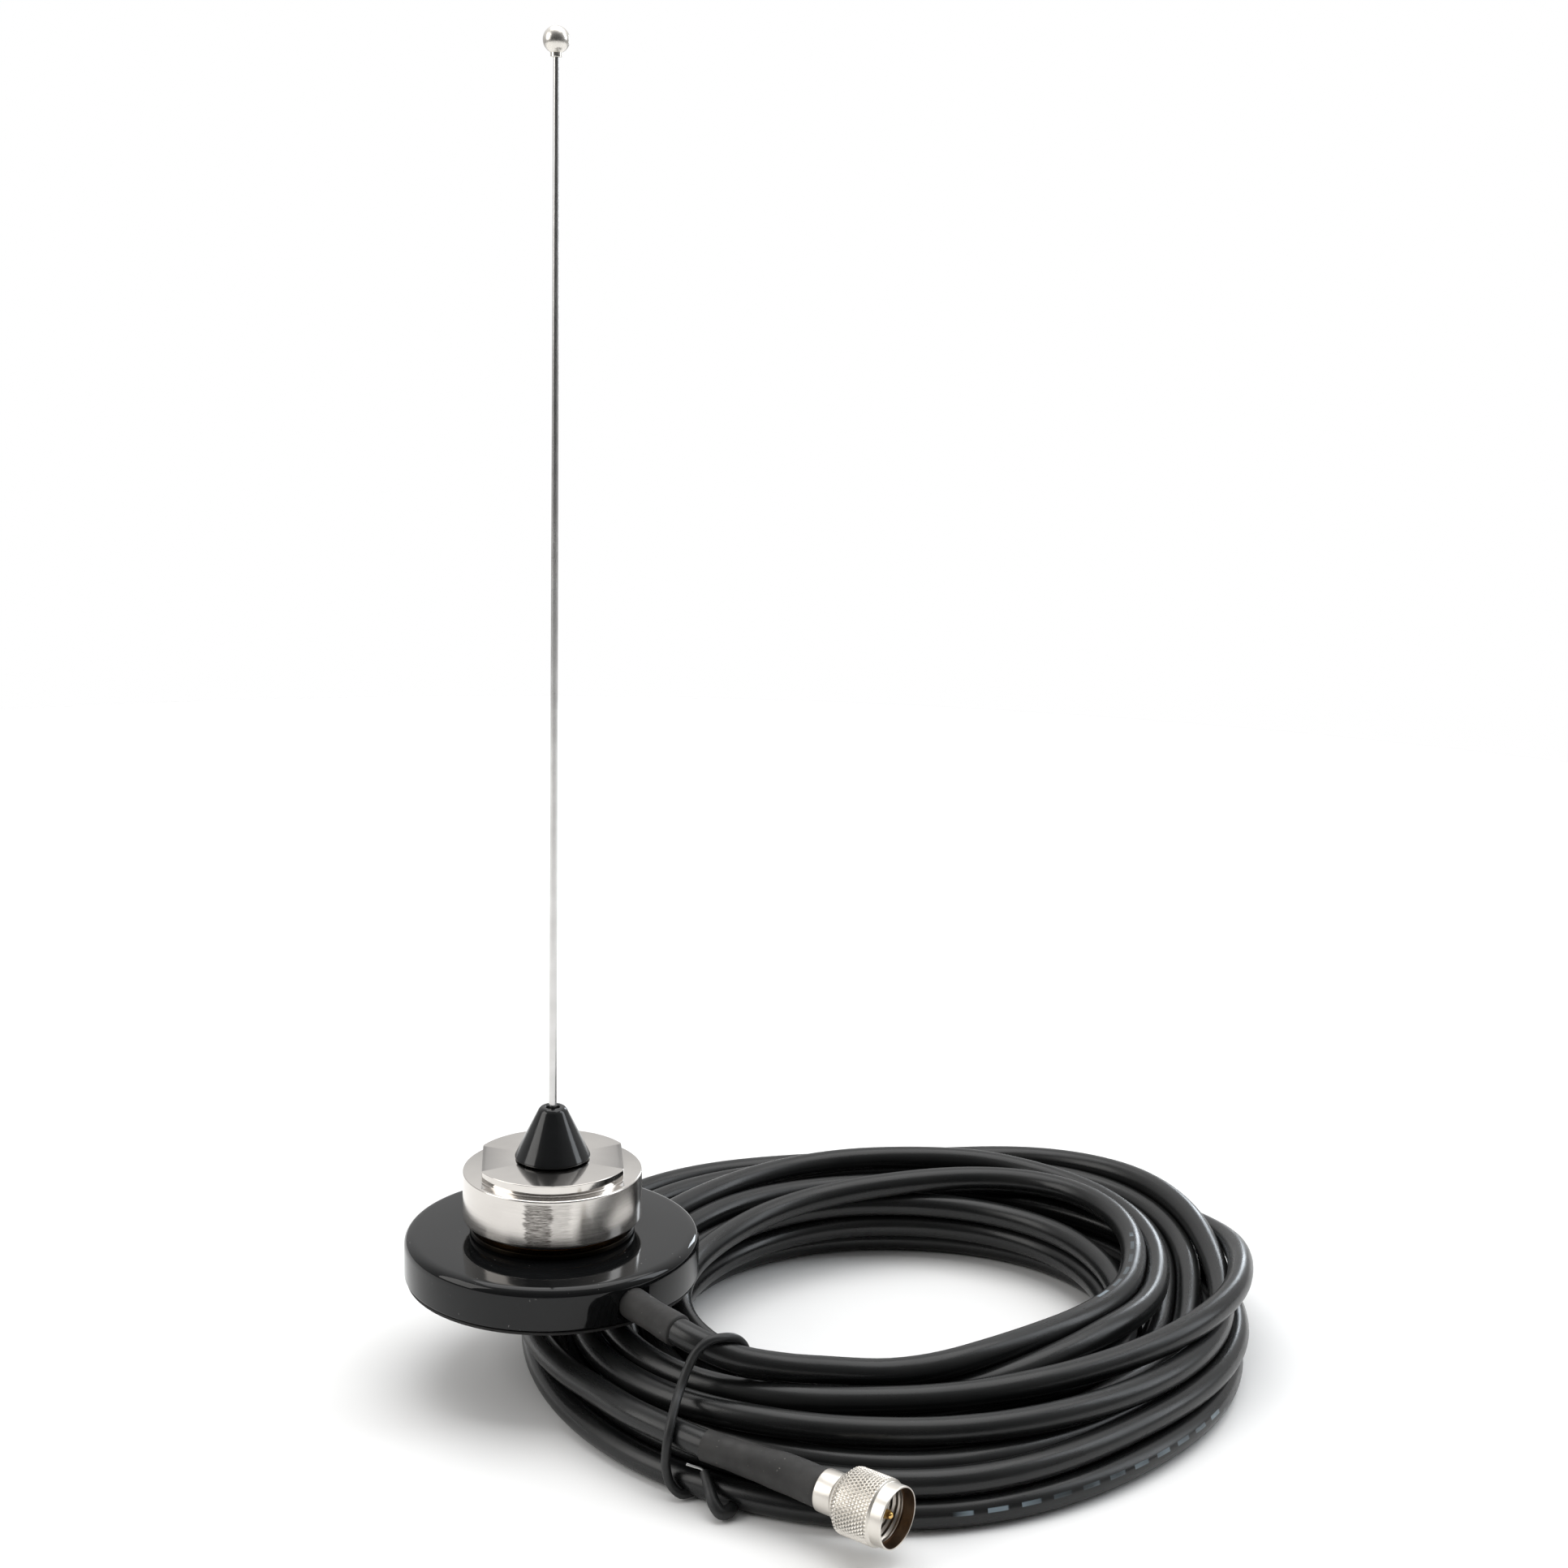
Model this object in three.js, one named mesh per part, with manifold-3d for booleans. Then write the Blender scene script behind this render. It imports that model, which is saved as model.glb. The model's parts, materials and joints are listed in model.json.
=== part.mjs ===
// Magnet-mount whip antenna: a round magnetic base, a screw-on antenna with a whip and tip ball,
// and a coax lead wound in a coil, with a screw-on connector on its far end.
//
// Millimetres, +Z up. The origin is on the ground, straight below the antenna's axis.
// The base rests on the left part of the coil, as the antenna is packed.

import * as THREE from "three";
import { mergeVertices } from "three/addons/utils/BufferGeometryUtils.js";
import Module from "manifold-3d";

const wasm = await Module();
wasm.setup();

// ---------------------------------------------------------------- driving dimensions

const GAP = 0.3; // between neighbouring pieces

// the coiled lead
const COIL_X = 66.5; // middle of the coil, from the antenna's axis
const COIL_Y = 12.5;
const COIL_INNER_R = 44.3;
const COIL_OUTER_R = 71.7;
const COIL_HEIGHT = 18.2;
const COIL_EDGE_HEIGHT = 3; // where the outer wall starts to lean in
const COIL_TOP_R = 58.7; // outer edge of the flat top

// the cable, from its jacket to its core
const JACKET_R = 2.475;
const BRAID_R = 1.85;
const DIELECTRIC_R = 1.475;
const CONDUCTOR_R = 0.45;
const SLEEVE_R = 2.9; // shrink sleeve over the jacket at the base

// the base
const BASE_Z = COIL_HEIGHT + GAP; // underside of the base
const BASE_R = 27.6;
const BASE_HEIGHT = 8.8;
const BASE_TOP = BASE_Z + BASE_HEIGHT;
const COVER_WALL = 1.8;
const COVER_EDGE_R = 1.4; // rounding of the top edge
const PAD_THICK = 0.6;
const EXIT_Z = BASE_Z + 4.1; // height of the cable's exit
const EXIT_TURN = THREE.MathUtils.degToRad(-52.3); // direction of the exit, from +X
const SLOT_WIDTH = 6.4; // slot for the cable through the magnet and the yoke
const YOKE_THICK = 1.3;
const LOCK_R = 17.4; // lock ring
const LOCK_THICK = 1.2;

// the mount's thread, 1 1/8 inch with 18 threads to the inch, as plain cylinders
const THREAD_R = 14.2;
const COLLAR_BORE_R = 12.6;
const COLLAR_FLANGE_R = 15.4;
const COLLAR_FLANGE_TOP = BASE_TOP + 1.3;
const COLLAR_TOP = BASE_TOP + 9.1;
const COLLAR_CHAMFER = 0.5;

// the antenna's base nut
const NUT_R = 16.7;
const NUT_Z = BASE_TOP + 3;
const NUT_BORE_R = 14.65;
const NUT_EDGE = 0.4; // rounding or chamfer of the wall's two edges
const NUT_SHOULDER_Z = BASE_TOP + 12.1;
const FLANGE_R = 14.7; // raised flange on top of the nut
const FLANGE_FLAT = 13; // from the axis to a wrench flat
const FLANGE_TURN = THREE.MathUtils.degToRad(6.5); // of the flats, from +Y
const FLANGE_TOP = BASE_TOP + 14.2;
const FLANGE_CHAMFER = 0.3;
const NUT_ROOF_Z = FLANGE_TOP - 3.4;
const NUT_HOLE_R = 5; // hole through the roof, for the insulator's bush
const SEAL_GROOVE_R = NUT_BORE_R + 1.2; // groove for the seal, in the nut's mouth
const SEAL_GROOVE_DEPTH = 1.7;

// the whip
const CONE_BASE_R = 7.05;
const CONE_TOP_R = 2.5;
const CONE_HEIGHT = 9.7;
const CONE_Z = FLANGE_TOP + GAP;
const WHIP_BOTTOM_R = 0.75;
const WHIP_TOP_R = 0.52;
const BALL_R = 2.3;
const BALL_Z = 241.2;

// the connector on the lead's far end: a mini-UHF style plug
const PLUG_FACE = new THREE.Vector3(62.7, -68.8, 8.5); // middle of the coupling nut's mouth
const PLUG_TURN = THREE.MathUtils.degToRad(-36); // direction that the mouth points in, from +X
const COUPLING_R = 5.65;
const COUPLING_RIM_R = 5.2;
const COUPLING_RIM_LENGTH = 2.4; // smooth rim in front of the knurl
const COUPLING_CONE_LENGTH = 1.7; // tapered back end
const COUPLING_BACK_R = 4.15;
const COUPLING_BACK_WALL = 2.4;
const COUPLING_LENGTH = 10.8;
const COUPLING_BORE_R = 4.7;
const PLUG_BODY_R = 2.9; // where the nut turns on it
const PLUG_BODY_BORE_R = 1.2;
const PLUG_FACE_R = 4.1; // shoulder that the gasket lies on
const PLUG_NOSE_R = 3.3;
const PLUG_NOSE_BORE_R = 2.7;
const PIN_R = 0.8;
const FERRULE_R = 3.6;
const FERRULE_LENGTH = 3.4;
const PLUG_SLEEVE_R = 3.1;

const TIE_R = 1; // twist tie, over its plastic coat
const WIRE_R = 0.25; // bare wire in the tie

const BIG_SIDES = 56; // segments of the base and the nut
const MEDIUM_SIDES = 30;
const SMALL_SIDES = 16;
const CABLE_SIDES = 10;

// ---------------------------------------------------------------- materials

function finish(color, roughness, metalness) {
  return new THREE.MeshStandardMaterial({ color, roughness, metalness });
}

const blackGloss = finish(0x17191a, 0.18, 0);
const blackMatte = finish(0x262626, 0.7, 0);
const blackRubber = finish(0x1c1c1c, 0.8, 0);
const nickel = finish(0xd6d2cb, 0.22, 1);
const brass = finish(0xb58a4a, 0.35, 1);
const gold = finish(0xd7a83c, 0.25, 1);
const steel = finish(0x9a9a98, 0.4, 1);
const copper = finish(0xb87350, 0.4, 1);
const ferrite = finish(0x35322f, 0.75, 0.1);
const whitePlastic = finish(0xe9e6dc, 0.45, 0);
const jacket = finish(0x1b1d1c, 0.5, 0);

// ---------------------------------------------------------------- shape helpers

const antenna = new THREE.Group();

// Adds a named mesh to a group, and gives it back to be placed.
function piece(name, geometry, material, group = antenna) {
  const mesh = new THREE.Mesh(geometry, material);
  mesh.name = name;
  group.add(mesh);
  return mesh;
}

// A turned piece about +Z. The outline is a closed list of [radius, height].
function turned(outline, sides) {
  const closed = [...outline, outline[0]];
  const points = closed.map(([r, z]) => new THREE.Vector2(r, z));
  return new THREE.LatheGeometry(points, sides).rotateX(Math.PI / 2);
}

// A plain ring or tube about +Z.
function ring(innerR, outerR, bottom, top, sides) {
  const outline = [
    [innerR, bottom],
    [outerR, bottom],
    [outerR, top],
    [innerR, top],
  ];
  return turned(outline, sides);
}

// A plain disc or pin about +Z.
function disc(radius, bottom, top, sides) {
  const points = [
    [0, bottom],
    [radius, bottom],
    [radius, top],
    [0, top],
  ].map(([r, z]) => new THREE.Vector2(r, z));
  return new THREE.LatheGeometry(points, sides).rotateX(Math.PI / 2);
}

// A quarter-round edge between a wall and a face, as [radius, height] points.
function roundedEdge(centreR, centreZ, radius, steps) {
  const points = [];
  for (let i = 0; i <= steps; i++) {
    const angle = (i / steps) * (Math.PI / 2);
    points.push([centreR + radius * Math.cos(angle), centreZ + radius * Math.sin(angle)]);
  }
  return points;
}

// A round tube along a smooth curve through points.
function tube(points, radius, sides, steps) {
  const section = new THREE.Shape();
  for (let i = 0; i < sides; i++) {
    const angle = (i / sides) * 2 * Math.PI;
    const x = radius * Math.cos(angle);
    const y = radius * Math.sin(angle);
    if (i === 0) section.moveTo(x, y);
    else section.lineTo(x, y);
  }
  section.closePath();
  const path = new THREE.CatmullRomCurve3(points, false, "centripetal");
  return new THREE.ExtrudeGeometry(section, { steps, extrudePath: path, bevelEnabled: false });
}

function solid(geometry) {
  const bare = geometry.clone();
  bare.deleteAttribute("normal");
  bare.deleteAttribute("uv");
  const merged = mergeVertices(bare, 1e-4);
  return new wasm.Manifold(
    new wasm.Mesh({
      numProp: 3,
      vertProperties: new Float32Array(merged.attributes.position.array),
      triVerts: new Uint32Array(merged.index.array),
    }),
  );
}

function fromSolid(made) {
  const mesh = made.getMesh();
  const geometry = new THREE.BufferGeometry();
  geometry.setAttribute("position", new THREE.BufferAttribute(mesh.vertProperties, 3));
  geometry.setIndex(new THREE.BufferAttribute(mesh.triVerts, 1));
  geometry.computeVertexNormals();
  return geometry;
}

// One geometry with others cut away from it.
function cut(geometry, ...tools) {
  let made = solid(geometry);
  for (const tool of tools) made = made.subtract(solid(tool));
  return fromSolid(made);
}

// A point at a radius and height on the line of the cable's exit.
function exitPoint(radius, height) {
  return new THREE.Vector3(radius * Math.cos(EXIT_TURN), radius * Math.sin(EXIT_TURN), height);
}

// A box or cylinder laid along the line of the cable's exit.
function exitSlot(fromR, toR, width, bottom, top) {
  const box = new THREE.BoxGeometry(toR - fromR, width, top - bottom);
  box.translate((fromR + toR) / 2, 0, (bottom + top) / 2);
  return box.rotateZ(EXIT_TURN);
}

function exitBar(fromR, toR, radius, height, sides) {
  const bar = new THREE.CylinderGeometry(radius, radius, toR - fromR, sides);
  bar.rotateZ(-Math.PI / 2);
  bar.translate((fromR + toR) / 2, 0, height);
  return bar.rotateZ(EXIT_TURN);
}

// ---------------------------------------------------------------- the magnetic base

const padTop = BASE_Z + PAD_THICK;
const coverBottom = padTop + GAP;
const coverInnerR = BASE_R - COVER_WALL;
const coverRoof = BASE_TOP - COVER_WALL;
const yokeTop = coverRoof - GAP;
const yokeBottom = yokeTop - YOKE_THICK;
const magnetTop = yokeBottom - GAP;
const magnetOuterR = coverInnerR - GAP;
const lockBottom = magnetTop - LOCK_THICK;

const coverOutline = [
  [coverInnerR, coverBottom],
  [BASE_R, coverBottom],
  ...roundedEdge(BASE_R - COVER_EDGE_R, BASE_TOP - COVER_EDGE_R, COVER_EDGE_R, 5),
  [THREAD_R + GAP, BASE_TOP],
  [THREAD_R + GAP, coverRoof],
  [coverInnerR, coverRoof],
];
const exitHole = exitBar(coverInnerR - 2, BASE_R + 2, SLEEVE_R + GAP, EXIT_Z, SMALL_SIDES);
piece("base_cover", cut(turned(coverOutline, BIG_SIDES), exitHole), blackGloss);

piece("bottom_pad", disc(BASE_R - 0.4, BASE_Z, padTop, BIG_SIDES), blackRubber);

const magnetSlot = exitSlot(LOCK_R - 4, BASE_R, SLOT_WIDTH, BASE_Z, BASE_TOP);
piece(
  "ring_magnet",
  cut(ring(LOCK_R + 0.8, magnetOuterR, coverBottom, magnetTop, MEDIUM_SIDES), magnetSlot),
  ferrite,
);

const yokeSlot = exitSlot(LOCK_R - 0.6, BASE_R, SLOT_WIDTH, BASE_Z, BASE_TOP);
piece(
  "yoke_plate",
  cut(ring(THREAD_R + GAP, magnetOuterR, yokeBottom, yokeTop, MEDIUM_SIDES), yokeSlot),
  steel,
);

// The lock ring has four slots in its underside for a pin spanner.
const spannerSlots = [0, 1].map((i) =>
  new THREE.BoxGeometry(2 * LOCK_R + 2, 2, 1)
    .translate(0, 0, lockBottom)
    .rotateZ(EXIT_TURN + Math.PI / 4 + (i * Math.PI) / 2),
);
piece(
  "lock_ring",
  cut(ring(THREAD_R + GAP, LOCK_R, lockBottom, magnetTop, MEDIUM_SIDES), ...spannerSlots),
  brass,
);

const collarOutline = [
  [COLLAR_BORE_R, lockBottom],
  [THREAD_R, lockBottom],
  [THREAD_R, BASE_TOP + GAP],
  [COLLAR_FLANGE_R, BASE_TOP + GAP],
  [COLLAR_FLANGE_R, COLLAR_FLANGE_TOP],
  [THREAD_R, COLLAR_FLANGE_TOP],
  [THREAD_R, COLLAR_TOP - COLLAR_CHAMFER],
  [THREAD_R - COLLAR_CHAMFER, COLLAR_TOP],
  [COLLAR_BORE_R, COLLAR_TOP],
];
piece("mount_collar", turned(collarOutline, BIG_SIDES), brass);

// The insulator is pressed into the collar's bore, and holds the centre contact.
const insulatorBottom = BASE_TOP - 2.2;
const insulatorTop = BASE_TOP + 1.4;
const contactStemR = 1.4;
const contactHeadR = 3;
const contactHeadThick = 1.1;
piece(
  "mount_insulator",
  ring(contactStemR + GAP, COLLAR_BORE_R - GAP, insulatorBottom, insulatorTop, MEDIUM_SIDES),
  whitePlastic,
);

const contactBottom = BASE_TOP - 3.6;
const contactTop = insulatorTop + GAP + contactHeadThick;
const contactPoints = [
  [0, contactBottom],
  [contactStemR, contactBottom],
  [contactStemR, insulatorTop + GAP],
  [contactHeadR, insulatorTop + GAP],
  [contactHeadR, contactTop - 0.3],
  [contactHeadR - 0.3, contactTop],
  [0, contactTop],
].map(([r, z]) => new THREE.Vector2(r, z));
piece(
  "mount_contact",
  new THREE.LatheGeometry(contactPoints, SMALL_SIDES).rotateX(Math.PI / 2),
  gold,
);

// The cable's end inside the base is stripped in steps: jacket, braid, dielectric, conductor.
const jacketEndR = 19.4;
const braidEndR = jacketEndR - 1.3;
const underRingZ = BASE_Z + 2.14; // height of the stripped core where it passes under the lock ring
piece(
  "coax_jacket_end",
  exitBar(jacketEndR, coverInnerR - 0.8, JACKET_R, EXIT_Z, CABLE_SIDES),
  jacket,
);
piece(
  "coax_braid_end",
  exitBar(braidEndR, jacketEndR - 0.15, BRAID_R, EXIT_Z - 0.9, CABLE_SIDES),
  copper,
);
piece(
  "coax_dielectric",
  tube(
    [
      exitPoint(braidEndR - 0.3, underRingZ + 0.25),
      exitPoint(braidEndR - 2, underRingZ),
      exitPoint(10, underRingZ),
      exitPoint(4, underRingZ),
    ],
    DIELECTRIC_R,
    CABLE_SIDES,
    12,
  ),
  whitePlastic,
);
piece(
  "coax_conductor",
  tube(
    [
      exitPoint(3.7, underRingZ),
      exitPoint(1.6, underRingZ + 0.3),
      exitPoint(0.5, underRingZ + 1.6),
      exitPoint(0, contactBottom - 0.2),
    ],
    CONDUCTOR_R,
    8,
    12,
  ),
  copper,
);

// A lug bent up from the braid to the lock ring's underside, beside the core.
const lugThick = 0.35;
const lugWidth = 1;
const lugFoot = 1.8;
const lugBottom = EXIT_Z - 2.2;
const lugRise = lockBottom - lugBottom - 0.4;
const lug = new THREE.Shape();
lug.moveTo(0, 0);
lug.lineTo(lugFoot, 0);
lug.lineTo(lugFoot, lugThick);
lug.lineTo(0.5, lugThick);
lug.lineTo(-1.4, lugRise + lugThick - 0.05);
lug.lineTo(-1.9, lugRise);
lug.closePath();
const lugGeometry = new THREE.ExtrudeGeometry(lug, { depth: lugWidth, bevelEnabled: false });
lugGeometry.rotateX(Math.PI / 2);
lugGeometry.translate(jacketEndR - 2.4, -1.95, lugBottom);
lugGeometry.rotateZ(EXIT_TURN);
piece("ground_lug", lugGeometry, brass);

// The strain relief is a shrink sleeve that starts in the cover's wall.
const sleeveStart = coverInnerR - 0.2;
const sleeveEnd = BASE_R + 13.5;
piece(
  "strain_relief",
  exitBar(sleeveStart, sleeveEnd, SLEEVE_R, EXIT_Z, SMALL_SIDES),
  blackMatte,
);

// ---------------------------------------------------------------- the screw-on antenna

// The nut is turned with a bore for the mount's thread, and its flange is milled flat on two sides.
const nutOutline = [
  [SEAL_GROOVE_R, NUT_Z],
  [NUT_R - NUT_EDGE, NUT_Z],
  [NUT_R, NUT_Z + NUT_EDGE],
  ...roundedEdge(NUT_R - NUT_EDGE, NUT_SHOULDER_Z - NUT_EDGE, NUT_EDGE, 3),
  [FLANGE_R, NUT_SHOULDER_Z],
  [FLANGE_R, FLANGE_TOP - FLANGE_CHAMFER],
  [FLANGE_R - FLANGE_CHAMFER, FLANGE_TOP],
  [NUT_HOLE_R, FLANGE_TOP],
  [NUT_HOLE_R, NUT_ROOF_Z],
  [NUT_BORE_R, NUT_ROOF_Z],
  [NUT_BORE_R, NUT_Z + SEAL_GROOVE_DEPTH],
  [SEAL_GROOVE_R, NUT_Z + SEAL_GROOVE_DEPTH],
];
const cutterWidth = 6;
const cutterHeight = 4;
const flatCutters = [-1, 1].map((side) =>
  new THREE.BoxGeometry(cutterWidth, 2 * NUT_R, cutterHeight)
    .translate(side * (FLANGE_FLAT + cutterWidth / 2), 0, NUT_SHOULDER_Z + cutterHeight / 2)
    .rotateZ(FLANGE_TURN),
);
piece("base_nut", cut(turned(nutOutline, BIG_SIDES), ...flatCutters), nickel);

// The seal is a rubber ring in the nut's mouth, which stands a little proud of it.
const sealInnerR = NUT_BORE_R + 0.1;
const sealOuterR = SEAL_GROOVE_R - GAP;
const sealMiddleR = (sealInnerR + sealOuterR) / 2;
piece(
  "seal_ring",
  turned(
    [
      [sealInnerR, NUT_Z - 0.5],
      [sealMiddleR, NUT_Z - 0.75],
      [sealOuterR, NUT_Z - 0.3],
      [sealOuterR, NUT_Z + 1],
      [sealMiddleR, NUT_Z + 1.35],
      [sealInnerR, NUT_Z + 1],
    ],
    MEDIUM_SIDES,
  ),
  blackRubber,
);

// The nut's insulator is a bush with a wide foot, which keeps the live insert apart from the nut.
const footBottom = NUT_ROOF_Z - 3.2;
const footTop = NUT_ROOF_Z - GAP;
const footR = COLLAR_BORE_R - 0.45;
const bushR = NUT_HOLE_R - GAP;
const insertR = 2.9;
const plungerSeatR = 2.3;
piece(
  "nut_insulator",
  turned(
    [
      [plungerSeatR, footBottom],
      [footR, footBottom],
      [footR, footTop],
      [bushR, footTop],
      [bushR, FLANGE_TOP],
      [insertR + GAP, FLANGE_TOP],
      [insertR + GAP, footTop + 0.6],
      [plungerSeatR, footTop + 0.6],
    ],
    MEDIUM_SIDES,
  ),
  whitePlastic,
);

const insertBottom = footTop + 0.9;
const insertTop = CONE_Z + 6.4;
const whipSocket = insertTop - 5;
piece(
  "whip_insert",
  turned(
    [
      [0, insertBottom],
      [insertR, insertBottom],
      [insertR, insertTop - 1],
      [insertR - 1, insertTop],
      [WHIP_BOTTOM_R + 0.2, insertTop],
      [WHIP_BOTTOM_R + 0.2, whipSocket],
      [0, whipSocket],
    ],
    SMALL_SIDES,
  ),
  brass,
);

const coneTop = CONE_Z + CONE_HEIGHT;
piece(
  "whip_cone",
  turned(
    [
      [insertR + GAP, CONE_Z],
      [CONE_BASE_R, CONE_Z],
      [CONE_BASE_R, CONE_Z + 0.35],
      [CONE_TOP_R + 0.15, coneTop - 0.55],
      [CONE_TOP_R - 0.3, coneTop],
      [WHIP_BOTTOM_R + 0.35, coneTop],
      [WHIP_BOTTOM_R + 0.35, insertTop + 0.4],
      [insertR - 0.5, insertTop + 0.4],
      [insertR + GAP, insertTop - 0.8],
    ],
    MEDIUM_SIDES,
  ),
  blackGloss,
);

const whipBottom = whipSocket + GAP;
const whipTop = BALL_Z + 0.4;
const rod = new THREE.CylinderGeometry(WHIP_TOP_R, WHIP_BOTTOM_R, whipTop - whipBottom, 16, 8);
rod.rotateX(Math.PI / 2);
rod.translate(0, 0, (whipTop + whipBottom) / 2);
piece("whip_rod", rod, steel);

// The ball has a short neck and a blind hole for the rod.
const ballHoleR = WHIP_TOP_R + 0.2;
const neckR = 1;
const ballOutline = [
  [0, whipTop + GAP],
  [ballHoleR, whipTop + GAP],
  [ballHoleR, BALL_Z - BALL_R - 0.5],
  [neckR, BALL_Z - BALL_R - 0.5],
];
const neckAngle = Math.asin(neckR / BALL_R);
for (let i = 0; i <= 12; i++) {
  const angle = neckAngle + (i / 12) * (Math.PI - neckAngle);
  ballOutline.push([BALL_R * Math.sin(angle), BALL_Z - BALL_R * Math.cos(angle)]);
}
ballOutline[ballOutline.length - 1][0] = 0;
piece(
  "tip_ball",
  new THREE.LatheGeometry(
    ballOutline.map(([r, z]) => new THREE.Vector2(r, z)),
    SMALL_SIDES,
  ).rotateX(Math.PI / 2),
  nickel,
);

// The sprung plunger stands on the mount's contact.
const plungerBottom = contactTop + GAP;
const plungerShoulder = footBottom + 0.6;
piece(
  "contact_plunger",
  turned(
    [
      [0, plungerBottom],
      [1, plungerBottom],
      [1.3, plungerBottom + 0.4],
      [1.3, plungerShoulder],
      [1.9, plungerShoulder],
      [1.9, plungerShoulder + 0.7],
      [0, plungerShoulder + 0.7],
    ],
    SMALL_SIDES,
  ),
  gold,
);

const springBottom = plungerShoulder + 0.7 + 0.4;
const springTop = insertBottom - 0.4;
const springTurns = 3;
const springPoints = [];
for (let i = 0; i <= springTurns * 10; i++) {
  const angle = (i / 10) * 2 * Math.PI;
  const height = springBottom + (i / (springTurns * 10)) * (springTop - springBottom);
  springPoints.push(new THREE.Vector3(1.5 * Math.cos(angle), 1.5 * Math.sin(angle), height));
}
piece("contact_spring", tube(springPoints, 0.14, 6, springTurns * 14), steel);

// ---------------------------------------------------------------- the coiled lead

// The coil lies flat. Its outer wall leans in, as the turns are heaped higher near the inside.
const coilGroup = new THREE.Group();
coilGroup.position.set(COIL_X, COIL_Y, 0);
antenna.add(coilGroup);
piece(
  "cable_coil",
  turned(
    [
      [COIL_INNER_R, 0],
      [COIL_OUTER_R, 0],
      [COIL_OUTER_R, COIL_EDGE_HEIGHT],
      [COIL_TOP_R, COIL_HEIGHT],
      [COIL_INNER_R, COIL_HEIGHT],
    ],
    BIG_SIDES,
  ),
  jacket,
  coilGroup,
);

// From the strain relief the cable runs on to the top of the coil.
piece(
  "cable_lead",
  tube(
    [
      exitPoint(sleeveEnd + GAP + 0.1, EXIT_Z),
      exitPoint(sleeveEnd + 1.6, EXIT_Z - 0.1),
      new THREE.Vector3(28.4, -34.9, 21.2),
    ],
    JACKET_R,
    CABLE_SIDES,
    3,
  ),
  jacket,
);

// ---------------------------------------------------------------- the connector

// In this group +X is the way that the mouth points, and the mouth's middle is the origin.
const plug = new THREE.Group();
plug.position.copy(PLUG_FACE);
plug.rotation.z = PLUG_TURN;
antenna.add(plug);

// A turned piece along the connector's axis. Its outline is a list of [radius, place].
function plugTurned(outline, sides) {
  return turned(outline, sides).rotateY(Math.PI / 2);
}

const nutBack = -COUPLING_LENGTH;
const rimBack = -COUPLING_RIM_LENGTH;
const backWall = nutBack + COUPLING_BACK_WALL;
const nutHoleR = PLUG_BODY_R + GAP;
piece(
  "coupling_nut",
  plugTurned(
    [
      [nutHoleR, nutBack],
      [COUPLING_BACK_R, nutBack],
      [COUPLING_R, nutBack + COUPLING_CONE_LENGTH],
      [COUPLING_R, rimBack - 0.3],
      [COUPLING_RIM_R, rimBack],
      [COUPLING_RIM_R, 0],
      [COUPLING_BORE_R, 0],
      [COUPLING_BORE_R, backWall],
      [nutHoleR, backWall],
    ],
    MEDIUM_SIDES,
  ),
  nickel,
  plug,
);

// The body passes through the nut's back wall. A retaining ring in its groove keeps the nut on.
const groove = backWall + 0.4;
const grooveR = PLUG_BODY_R - 0.5;
const faceBack = groove + 0.9;
const faceFront = groove + 2;
const noseFront = groove + 4.4;
const noseFloor = groove + 1.4;
const bodyBack = nutBack - FERRULE_LENGTH + 1.5;
piece(
  "connector_body",
  plugTurned(
    [
      [PLUG_BODY_BORE_R, bodyBack],
      [grooveR, bodyBack],
      [grooveR, nutBack - 0.6],
      [PLUG_BODY_R, nutBack - 0.6],
      [PLUG_BODY_R, groove],
      [grooveR, groove],
      [grooveR, faceBack],
      [PLUG_FACE_R, faceBack],
      [PLUG_FACE_R, faceFront],
      [PLUG_NOSE_R, faceFront],
      [PLUG_NOSE_R, noseFront],
      [PLUG_NOSE_BORE_R, noseFront],
      [PLUG_NOSE_BORE_R, noseFloor],
      [PLUG_BODY_BORE_R, noseFloor],
    ],
    MEDIUM_SIDES,
  ),
  nickel,
  plug,
);

const retainerR = 4.2;
const retainerEnd = 0.35; // half of its opening, in radians
const retainer = new THREE.Shape();
retainer.absarc(0, 0, retainerR, retainerEnd, 2 * Math.PI - retainerEnd, false);
retainer.absarc(0, 0, grooveR + 0.25, 2 * Math.PI - retainerEnd, retainerEnd, true);
retainer.closePath();
piece(
  "retaining_ring",
  new THREE.ExtrudeGeometry(retainer, { depth: 0.5, bevelEnabled: false, curveSegments: 24 })
    .rotateY(Math.PI / 2)
    .translate(groove + 0.2, 0, 0),
  steel,
  plug,
);

const gasketBack = faceFront + 0.2;
const gasketFront = gasketBack + 0.7;
piece(
  "plug_gasket",
  plugTurned(
    [
      [PLUG_NOSE_R + 0.15, gasketBack],
      [COUPLING_BORE_R - 0.2, gasketBack],
      [COUPLING_BORE_R - 0.2, gasketFront],
      [PLUG_NOSE_R + 0.15, gasketFront],
    ],
    MEDIUM_SIDES,
  ),
  blackRubber,
  plug,
);

const discR = PLUG_NOSE_BORE_R - 0.15;
const discBack = noseFloor + 0.15;
const discFront = noseFront - 0.4;
piece(
  "plug_insulator",
  plugTurned(
    [
      [PIN_R + 0.15, discBack],
      [discR, discBack],
      [discR, discFront],
      [PIN_R + 0.15, discFront],
    ],
    SMALL_SIDES,
  ),
  whitePlastic,
  plug,
);

piece(
  "centre_pin",
  plugTurned(
    [
      [0, nutBack - 1.5],
      [PIN_R, nutBack - 1.5],
      [PIN_R, -1.7],
      [PIN_R * 0.75, -1.2],
      [0, -1],
    ],
    SMALL_SIDES,
  ),
  gold,
  plug,
);

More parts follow.
